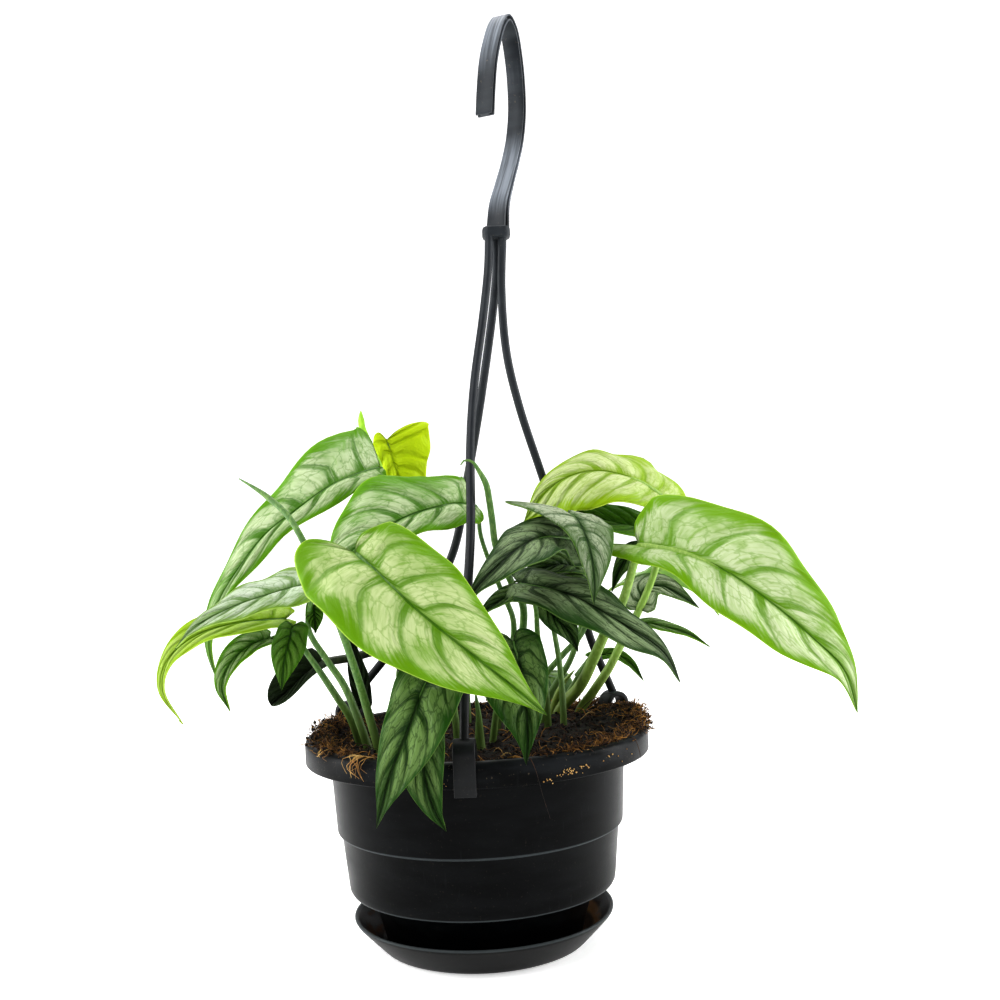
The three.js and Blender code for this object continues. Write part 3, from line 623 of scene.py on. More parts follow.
@dataclass(frozen=True)
class LeafTone:
    """The colours of one kind of leaf."""

    name: str
    slot: str
    blade: str
    silver: str
    vein: str
    margin: str
    edge: str
    under: str
    silvering: float = 0.9
    rim: float = 0.86
    gloss: float = 0.42
    netting: float = 0.2
    lines: float = 0.5
    rib_line: Pair = (0.012, 0.060)
    vein_line: Pair = (0.0, 0.030)
    net_line: Pair = (0.0, 0.085)
    edge_line: Pair = (0.978, 0.994)
    shine: float = 0.19
    lets_through: float = 0.10
    relief_mm: float = 1.3

    def upper(self) -> Material:
        """Makes the upper face: silvery fields, green veins, a plain margin and a fine edge.

        Returns:
            The material.
        """
        shop = Workshop(f"{self.name}_upper")
        row, side = shop.map("veins")
        across, _ = shop.map("spread")
        share = abs(side)
        patchy = shop.cloud(48, 4)
        fine = shop.cloud(520, 3)
        streaks = shop.cloud(1.0, 5, shop.pair(row * 7.5, side * 1.8))
        rows = row + (patchy - 0.5) * 0.14 + (fine - 0.5) * 0.05
        offset = rows - shop.sum("ROUND", rows)
        gap = abs(offset)
        reach = 0.05 + 0.19 * (1 - share) ** 1.8
        leaning = abs(offset - 0.12 * (1 - share))
        flame = (leaning / reach + (streaks - 0.5) * 2.6).fall(0.1, 1.25)
        line = gap.fall(*self.vein_line) * share.fall(0.5, 0.95)
        midrib = abs(across).fall(*self.rib_line)
        spine = (abs(across) + (streaks - 0.5) * 0.22).fall(0.03, 0.30)
        web = shop.cells(shop.wander(shop.pair(rows * 2.7, side * 4.2), 2.2, 0.7))
        net = web.fall(*self.net_line)
        ragged = share + (streaks - 0.5) * 0.55 + (patchy - 0.5) * 0.30
        rim = ragged.rise(self.rim - 0.16, self.rim + 0.10)
        marble = (patchy * 1.2 + share * 0.22 + (streaks - 0.5) * 0.9).rise(0.66, 0.95)
        field = (1 - flame * (1 - 0.45 * share)) * (1 - 0.8 * spine) * (1 - 0.7 * marble)
        silver = field * (1 - rim) * (1 - 0.30 * net) * (0.62 + 0.38 * streaks.rise(0.32, 0.58))
        base = shop.mix(flame * 0.34, self.blade, self.vein)
        base = shop.mix(marble * 0.55, base, self.margin)
        base = shop.mix(silver * self.silvering, base, self.silver)
        base = shop.mix(rim * 0.8, base, self.margin)
        dark = shop.sum("MAXIMUM", line * self.lines, midrib * 0.75)
        dark = shop.sum("MAXIMUM", dark, net * self.netting * (1 - rim))
        base = shop.mix(dark, base, self.vein)
        base = shop.mix(share.rise(*self.edge_line) * 0.8, base, self.edge)
        cushion = gap.rise(0.0, 0.30) * 0.6 + web.rise(0.0, 0.4) * 0.16
        height = cushion + fine * 0.05 + streaks * 0.3 - midrib * 0.5
        shop.surface(
            see_through=colour(self.margin), share=self.lets_through, Base_Color=base,
            Roughness=self.gloss + 0.12 * patchy + 0.06 * net,
            Normal=shop.relief(height, self.relief_mm, 0.9), Specular_IOR_Level=self.shine,
        )
        return shop.material

    def lower(self) -> Material:
        """Makes the under face: paler and matt, with raised veins.

        Returns:
            The material.
        """
        shop = Workshop(f"{self.name}_under")
        row, side = shop.map("veins")
        across, _ = shop.map("spread")
        fine = shop.cloud(300, 3)
        rows = row + (shop.cloud(55) - 0.5) * 0.34
        gap = abs(rows - shop.sum("ROUND", rows))
        side_veins = gap.fall(0.01, 0.07) * abs(side).fall(0.4, 1.0)
        line = shop.sum("MAXIMUM", side_veins, abs(across).fall(0.04, 0.15))
        base = shop.mix(fine.rise(0.3, 0.7) * 0.4, self.under, self.blade)
        base = shop.mix(line * 0.6, base, self.edge)
        shop.surface(
            see_through=colour(self.margin), share=0.14, Base_Color=base,
            Roughness=0.58 + 0.1 * fine, Normal=shop.relief(line + fine * 0.2, 0.4, 0.8),
        )
        return shop.material


class Tone(Enum):
    """The kinds of leaf on this plant."""

    FRONT = LeafTone("front_leaf", "leaf_lime", "6c9a0a", "d0daa8", "40720a", "6c9a04", "b4d05c",
                     "96c050", silvering=0.87, netting=0.1, lines=0.4)
    BIG = LeafTone("big_leaf", "leaf_lime", "76a40c", "d8e0be", "467a10", "74a204", "acd04c",
                   "96c050", silvering=0.86, netting=0.12, lines=0.36)
    TOP = LeafTone("top_leaf", "leaf_lime", "86a608", "dce2b6", "6c9010", "94b404", "c4dc50",
                   "a8d048", silvering=0.74, netting=0.1, lines=0.3)
    YELLOW = LeafTone("yellow_leaf", "leaf_lime", "bcd20a", "c4dc1c", "a8c20a", "bcd406", "d0e244",
                      "c0d830", silvering=0.3, lines=0.2)
    GREEN = LeafTone("green_leaf", "leaf_green", "54880e", "ccd8b2", "2c5c0a", "649a06", "98c040",
                     "80aa44", lines=0.6, netting=0.16)
    PLAIN = LeafTone("plain_leaf", "leaf_green", "446e10", "7c9c4a", "204808", "4a7a0e", "84ac40",
                     "70983c", silvering=0.45)
    FRESH = LeafTone("fresh_leaf", "leaf_silver", "74984c", "d8e0d0", "486e32", "7c9e34", "a8c85c",
                     "94bc58", rim=0.93, lines=0.6)
    SILVER = LeafTone("silver_leaf", "leaf_silver", "3c6220", "c4ccb2", "183a10", "486e22",
                      "8aa85c", "88a670", rim=0.95, netting=0.3, lines=0.6)
    DARK = LeafTone("dark_leaf", "leaf_dark", "1e4408", "7c9858", "0c2604", "265408", "6c8c3c",
                    "4c7030", silvering=0.8, rim=0.93, gloss=0.36, netting=0.42, lines=0.8)
    DUSK = LeafTone("dusk_leaf", "leaf_dark", "1c3c08", "a0b488", "0a1e04", "224808", "648240",
                    "3e5c2e", silvering=0.74, rim=0.92, gloss=0.36, netting=0.42, lines=0.8)
    # Painted shade: near-black colours, underside included, for leaves that sit in shade.
    DEEP = LeafTone("shaded_leaf", "leaf_dark", "14220a", "2c401a", "0a1406", "1a2c0c", "2e4420",
                    "2a3a20", silvering=0.4, rim=0.93)
    LIME = LeafTone("lime_leaf", "leaf_lime", "98b828", "d0de9c", "648f18", "9cbe20", "c0dc60",
                    "98c83c", silvering=0.5, lines=0.4)


@dataclass(frozen=True)
class StalkTone:
    """A fleshy stalk: green with pale streaks, browner at its foot."""

    name: str
    top: str
    foot: str
    streak: str
    speck: str = "6b4a2c"
    foot_heights: Pair = (0.092, 0.125)

    def material(self) -> Material:
        """Makes the stalk's material.

        Returns:
            The material.
        """
        shop = Workshop(self.name)
        long_streaks = shop.cloud(1.0, 4, shop.place((900, 900, 70)))
        mottle = shop.cloud(240, 3)
        _, _, height = shop.parts(shop.place())
        low = (height + (mottle - 0.5) * 0.02).fall(*self.foot_heights)
        base = shop.mix(long_streaks.rise(0.42, 0.68) * 0.6, self.top, self.streak)
        base = shop.mix(low * 0.75, base, self.foot)
        base = shop.mix(mottle.rise(0.62, 0.75) * low * 0.7, base, self.speck)
        shop.surface(
            Base_Color=base, Roughness=0.38 + 0.2 * mottle,
            Normal=shop.relief(long_streaks + mottle * 0.3, 0.25, 0.7),
        )
        return shop.material


class Stalk(Enum):
    """The kinds of stalk."""

    PALE = StalkTone("pale_stalk", "84a446", "7c8c3c", "a8c26a")
    GREEN = StalkTone("green_stalk", "4c7430", "55682a", "7c9c50")
    DARK = StalkTone("dark_stalk", "26301c", "2c2418", "46502e")
    LIME = StalkTone("lime_stalk", "98cc28", "98cc28", "b8e048")


@dataclass(frozen=True)
class Plastic:
    """Moulded black plastic with fine grain, dust and scuffs, plus painted sheen and painted
    highlights.
    """

    name: str
    body: str
    low: str
    # Colour of the dust film, which on faces that look up is also painted sheen.
    dust_and_sheen: str
    roughness: float
    dusty: float
    dust_low: float = 0.0
    dust_high: float = 0.0
    shine: float = 0.14
    # Height bands, in metres, of painted highlight along rounded edges.
    lit_edges: tuple[Pair, ...] = ()
    stain: str = ""
    residue: str = "b8803c"
    # Colour of the painted highlight on the hook strap, if any.
    strap_sheen: str = ""
    strap_across: Point = (0.883, -0.469, 0)
    strap_heights: tuple[Pair, Pair] = ((0.316, 0.332), (0.346, 0.364))
    bend_heights: Pair = (0.376, 0.402)
    speck: str = "8d7f6a"
    scuff: str = "6d7276"
    edge_highlight: str = "4a5052"

    def material(self) -> Material:
        """Makes the plastic; dust, with painted sheen on faces that look up, gathers between the
        two heights, in metres, and above.

        Returns:
            The material.
        """
        shop = Workshop(self.name)
        grain = shop.cloud(2600, 2)
        smear = shop.cloud(1.0, 5, shop.place((38, 38, 130)))
        specks = shop.cloud(900, 2).rise(0.66, 0.72)
        scuffs = shop.cloud(1.0, 3, shop.place((700, 700, 90))).rise(0.64, 0.74)
        right, _, height = shop.parts(shop.place())
        _, _, up = shop.parts(shop.node("NewGeometry", output="Normal"))
        # Dust film that also stands in for painted sheen from the light above: heavier above the
        # two heights and on faces that look up.
        high = (height + (smear - 0.5) * 0.006).rise(self.dust_low, self.dust_high)
        film = (0.16 + 0.5 * high + 0.4 * up.rise(0.2, 0.9)) * smear.rise(0.32, 0.72) * self.dusty
        base = shop.mix(height.rise(0.10, 0.24), self.low, self.body)
        base = shop.mix(film, base, self.dust_and_sheen)
        base = shop.mix(specks * (0.10 + 0.7 * high) * self.dusty, base, self.speck)
        base = shop.mix(scuffs * 0.05 * self.dusty, base, self.scuff)
        # Painted highlight: lighter streaked colour on the strap's lower stem and on the up-facing
        # top of its bend, standing in for reflections of the light.
        if self.strap_sheen:
            across = shop.node("VectorMath", {"operation": "DOT_PRODUCT"},
                               {0: shop.place(), 1: self.strap_across}, output=1)
            sheen_streaks = shop.cloud(1.0, 4, shop.pair(across * 800, height * 22))
            streaks = 0.4 + 0.6 * sheen_streaks.rise(0.36, 0.62)
            lower, upper = self.strap_heights
            stem = height.rise(*lower) * height.fall(*upper)
            bend = height.rise(*self.bend_heights) * up.rise(-0.25, 0.3)
            base = shop.mix(shop.sum("MAXIMUM", stem, bend) * streaks, base, self.strap_sheen)
        # Painted highlight: a lighter band along each rounded edge between the two heights, where
        # the edge catches the light.
        for low, top in self.lit_edges:
            edge = height.rise(low, low + 0.0004) * height.fall(top - 0.0004, top)
            base = shop.mix(edge * (0.45 + 0.4 * smear), base, self.edge_highlight)
        if self.stain:
            faces_up = up.rise(0.1, 0.4)
            film = smear.rise(0.46, 0.60) * height.fall(0.009, 0.0125) * faces_up
            base = shop.mix(film * 0.8, base, self.stain)
            band = height.rise(0.0045, 0.006) * height.fall(0.008, 0.0095)
            streak = right.rise(0.030, 0.038) * band * smear.rise(0.36, 0.5)
            base = shop.mix(streak * faces_up, base, self.residue)
        shop.surface(
            Base_Color=base, Roughness=self.roughness + 0.16 * smear + 0.25 * film,
            Normal=shop.relief(grain + scuffs * 0.5, 0.06, 0.6), Specular_IOR_Level=self.shine,
        )
        return shop.material


@dataclass(frozen=True)
class Crumble:
    """Peat, fibre and root: colours that change from bit to bit."""

    name: str
    dark: str
    light: str
    scale: float
    roughness: float = 0.9
    depth_mm: float = 0.8
    speck: str = "6a4a26"

    def material(self) -> Material:
        """Makes the crumbly material.

        Returns:
            The material.
        """
        shop = Workshop(self.name)
        bits = shop.cloud(self.scale, 5)
        fine = shop.cloud(self.scale * 6, 3)
        base = shop.mix(bits.rise(0.36, 0.66), self.dark, self.light)
        base = shop.mix(fine.rise(0.62, 0.75) * 0.25, base, self.speck)
        shop.surface(
            Base_Color=base, Roughness=self.roughness - 0.1 * fine,
            Normal=shop.relief(bits * 0.6 + fine * 0.4, self.depth_mm, 1.0),
        )
        return shop.material


# Leaves

HEART = (
    (0, 0), (-0.62, 0.13), (-0.98, 0.36), (-0.82, 0.68), (-0.2, 0.92), (0.16, 1), (0.34, 0.94),
    (0.52, 0.75), (0.68, 0.5), (0.8, 0.27), (0.9, 0.11), (1, 0),
)
SADDLE = (
    (0, 0), (-0.3, 0.3), (-0.5, 0.62), (-0.4, 0.9), (0, 1), (0.12, 0.78), (0.22, 0.5),
    (0.34, 0.3), (0.5, 0.22), (0.7, 0.16), (0.86, 0.08), (1, 0),
)
LANCE = (
    (0, 0), (-0.5, 0.2), (-0.9, 0.45), (-0.5, 0.76), (0.14, 0.94), (0.3, 1), (0.46, 0.9),
    (0.62, 0.68), (0.76, 0.42), (0.87, 0.2), (0.95, 0.07), (1, 0),
)
ROUND = (
    (0, 0), (-0.16, 0.14), (-0.24, 0.36), (-0.14, 0.62), (0.02, 0.84), (0.18, 0.98),
    (0.34, 0.98), (0.52, 0.8), (0.68, 0.54), (0.8, 0.3), (0.9, 0.12), (1, 0),
)
TONGUE = (
    (0, 0), (-0.6, 0.05), (-0.98, 0.2), (-0.66, 0.36), (-0.1, 0.44), (0.14, 0.62), (0.28, 0.86),
    (0.42, 1), (0.58, 0.88), (0.74, 0.56), (0.87, 0.22), (1, 0),
)
CROWN = (
    (0, 0), (-0.3, 0.3), (-0.62, 0.7), (-0.6, 1), (-0.24, 1.15), (0.06, 1.07), (0.2, 0.93),
    (0.33, 0.72), (0.45, 0.5), (0.58, 0.36), (0.72, 0.26), (0.86, 0.12), (1, 0),
)
BROAD = (
    (0, 0), (-0.3, 0.4), (-0.4, 0.7), (-0.1, 0.76), (0.08, 0.68), (0.26, 0.82), (0.42, 1),
    (0.58, 0.96), (0.72, 0.68), (0.84, 0.4), (0.93, 0.16), (1, 0),
)
FULL = (
    (0, 0), (-0.5, 0.26), (-0.8, 0.64), (-0.66, 1), (-0.2, 1.14), (0.14, 1.04), (0.34, 0.86),
    (0.52, 0.7), (0.68, 0.48), (0.82, 0.27), (0.92, 0.12), (1, 0),
)
FLANK = (
    (0, 0), (-0.16, 0.14), (-0.2, 0.3), (-0.05, 0.5), (0.12, 0.66), (0.3, 0.84), (0.48, 1),
    (0.62, 0.98), (0.75, 0.8), (0.86, 0.5), (0.94, 0.22), (1, 0),
)
BLUNT = (
    (0, 0), (-0.4, 0.3), (-0.3, 0.6), (0, 0.85), (0.2, 1), (0.4, 1), (0.6, 0.96), (0.76, 0.84),
    (0.88, 0.64), (0.95, 0.42), (0.99, 0.2), (1, 0),
)


@dataclass
class Leaf:
    """A blade on its stalk, or a bare stalk. Sizes are in millimetres and degrees.

    rib runs along the midrib to the tip, and face is the way the upper side looks along it. half
    is how wide the blade is left and right of the rib, and lobe how far it reaches back beside the
    stalk. outlines gives both sides as (share of length, share of width), where a negative length
    is a share of the lobe. stalk runs from the blade down into the soil.
    """

    finish: Tone
    rib: tuple[Point, ...] = ()
    face: tuple[Point, ...] = ()
    half: Pair = (10, 10)
    lobe: float = 3
    outlines: tuple[tuple[Pair, ...], tuple[Pair, ...]] = (LANCE, LANCE)
    fold: float = 8
    sag: float = 0
    wave: float = 0
    waves: float = 3
    veins: float = 9
    sweep: float = 1.5
    puff: float = 1.0
    stalk: tuple[Point, ...] = ()
    radii: Pair = (0.7, 1.8)
    skin: Stalk = Stalk.GREEN
    lift: float = 0.3
    groove: float = 0.5
    groove_width: float = 1.3
    notch: float = 0.14
    thickness: float = 0.55
    columns: int = 14
    rows: int = 60

    def surface_at(self, side: np.ndarray, row: np.ndarray) -> tuple[np.ndarray, ...]:
        """Finds places on the upper face.

        Args:
            side: From -1 at the right margin over 0 at the rib to 1 at the left margin.
            row: From 0 at the notch to 1 at the tip, following the side veins.

        Returns:
            The places, the vein numbers, and the distances across and along in centimetres.
        """
        rail = Rail(self.rib)
        left_hand = side > 0
        share = np.abs(side)
        left_edge, right_edge = (even_spline(outline, row) for outline in self.outlines)
        edge = np.where(left_hand[:, None], left_edge, right_edge)
        width = np.where(left_hand, self.half[0], self.half[1]) * np.maximum(edge[:, 1], 0)
        reach = np.where(edge[:, 0] < 0, edge[:, 0] * self.lobe, edge[:, 0] * rail.length)
        start = np.maximum((1 + self.notch) * row**1.3 - self.notch, 0) * rail.length
        station = start + (reach - start) * share**1.15
        along = np.clip(station / rail.length, 0, 1)
        heading = rail.heading(along)
        faces = np.asarray(self.face, float)
        steps = np.linspace(0, 1, len(faces))
        normal = np.stack([np.interp(along, steps, column) for column in faces.T], axis=-1)
        normal -= heading * np.sum(normal * heading, axis=1, keepdims=True)
        normal /= np.linalg.norm(normal, axis=1, keepdims=True)
        left = np.cross(normal, heading)
        place = rail.place(along) + heading * np.minimum(station, 0)[:, None]
        vein = row**0.9 * self.veins + np.where(left_hand, 0.0, 0.42)
        vein -= self.sweep * share**1.2 * np.clip(row * 2.2, 0, 1)
        gap = np.abs(vein - np.round(vein))
        full = edge[:, 1].clip(0, 1)
        ripple = self.wave * np.sin(TURN * self.waves * reach / rail.length + np.sign(side))
        cushion = 1 - np.exp(-((gap / 0.17) ** 2))
        bulge = self.puff * cushion * np.sin(math.pi * share**0.8) * full
        groove = self.groove * np.exp(-((width * share / self.groove_width) ** 2))
        drop = share**2 * full
        rise = (
            width * share * math.tan(math.radians(self.fold)) - self.sag * drop + ripple * drop
            + bulge - groove
        )
        place += left * (side * width)[:, None] + normal * (rise + self.lift)[:, None]
        return place, vein, side * width / 10, station / 10

    def blade(self, name: str) -> Piece:
        """Lays a grid out as the blade and gives it its thickness.

        Args:
            name: The blade's name.

        Returns:
            The blade, with its two finishes.
        """
        bpy.ops.mesh.primitive_grid_add(
            x_subdivisions=2 * self.columns, y_subdivisions=self.rows, size=2
        )
        piece = fresh(name)
        flat = get_points(piece)
        side, row = flat[:, 0], (flat[:, 1] + 1) / 2
        place, vein, across, along = self.surface_at(side, row)
        mesh = piece.data
        mesh.vertices.foreach_set("co", (place * MM).astype(np.float32).ravel())
        mesh.update()
        corner = np.empty(len(mesh.loops), np.int32)
        mesh.loops.foreach_get("vertex_index", corner)
        drop_maps(mesh)
        for label, pair in (("veins", (vein, side)), ("spread", (across, along))):
            layer = mesh.uv_layers.new(name=label)
            layer.data.foreach_set("uv", np.stack(pair, axis=1)[corner].astype(np.float32).ravel())
        with editing(piece):
            bpy.ops.mesh.remove_doubles(threshold=0.03 * MM)
            bpy.ops.mesh.flip_normals()
        mesh.materials.append(finish_of(self.finish, "upper"))
        mesh.materials.append(finish_of(self.finish, "lower"))
        add_modifier(
            piece, "SOLIDIFY", thickness=self.thickness * MM, offset=-1, material_offset=1,
            material_offset_rim=0,
        )
        bpy.ops.object.shade_smooth()
        return piece

    def petiole(self, name: str) -> Piece:
        """Draws the stalk, which runs on a little way under the midrib.

        Args:
            name: The stalk's name.

        Returns:
            The stalk.
        """
        knots = [np.asarray(point, float) for point in self.stalk]
        if self.rib:
            rail = Rail(self.rib)
            faces = np.asarray(self.face, float)[0]
            under = faces / np.linalg.norm(faces) * 0.9
            knots = [rail.place(np.array(s)) - under * (1 - s) for s in (0.34, 0.16, 0.0)] + knots
        rail = Rail(knots)
        steps = max(12, int(rail.length / 2.2))
        share = np.linspace(0, 1, steps + 1)
        radii = self.radii[0] + (self.radii[1] - self.radii[0]) * share**1.25
        if self.rib:
            radii = radii * np.clip(0.35 + share * rail.length / 16, 0.35, 1)
        else:
            radii = radii * np.clip(0.2 + share * 8, 0.2, 1)
        piece = rod(name, rail.place(share), radii)
        piece.data.materials.append(finish_of(self.skin))
        return piece


FINISHES: dict[str, Material] = {}


def finish_of(kind: Enum, face: str = "material") -> Material:
    """Gives the material of a finish, made the first time it is asked for.

    Args:
        kind: The finish.
        face: Its method that makes the material.

    Returns:
        The material.
    """
    key = f"{kind}_{face}"
    if key not in FINISHES:
        FINISHES[key] = getattr(kind.value, face)()
    return FINISHES[key]


@dataclass
class Foliage:
    """All leaves that share one solid."""

    node: str
    leaves: list[Leaf]

    def build(self) -> None:
        """Makes the leaves, joins them and puts them in the solid's place."""
        parts = []
        for k, leaf in enumerate(self.leaves):
            if leaf.rib:
                parts.append(leaf.blade(f"{self.node}_blade_{k}"))
            if leaf.stalk:
                parts.append(leaf.petiole(f"{self.node}_stalk_{k}"))
        piece = joined(f"{self.node}_dressed", parts)
        hand_over(piece, [self.node])


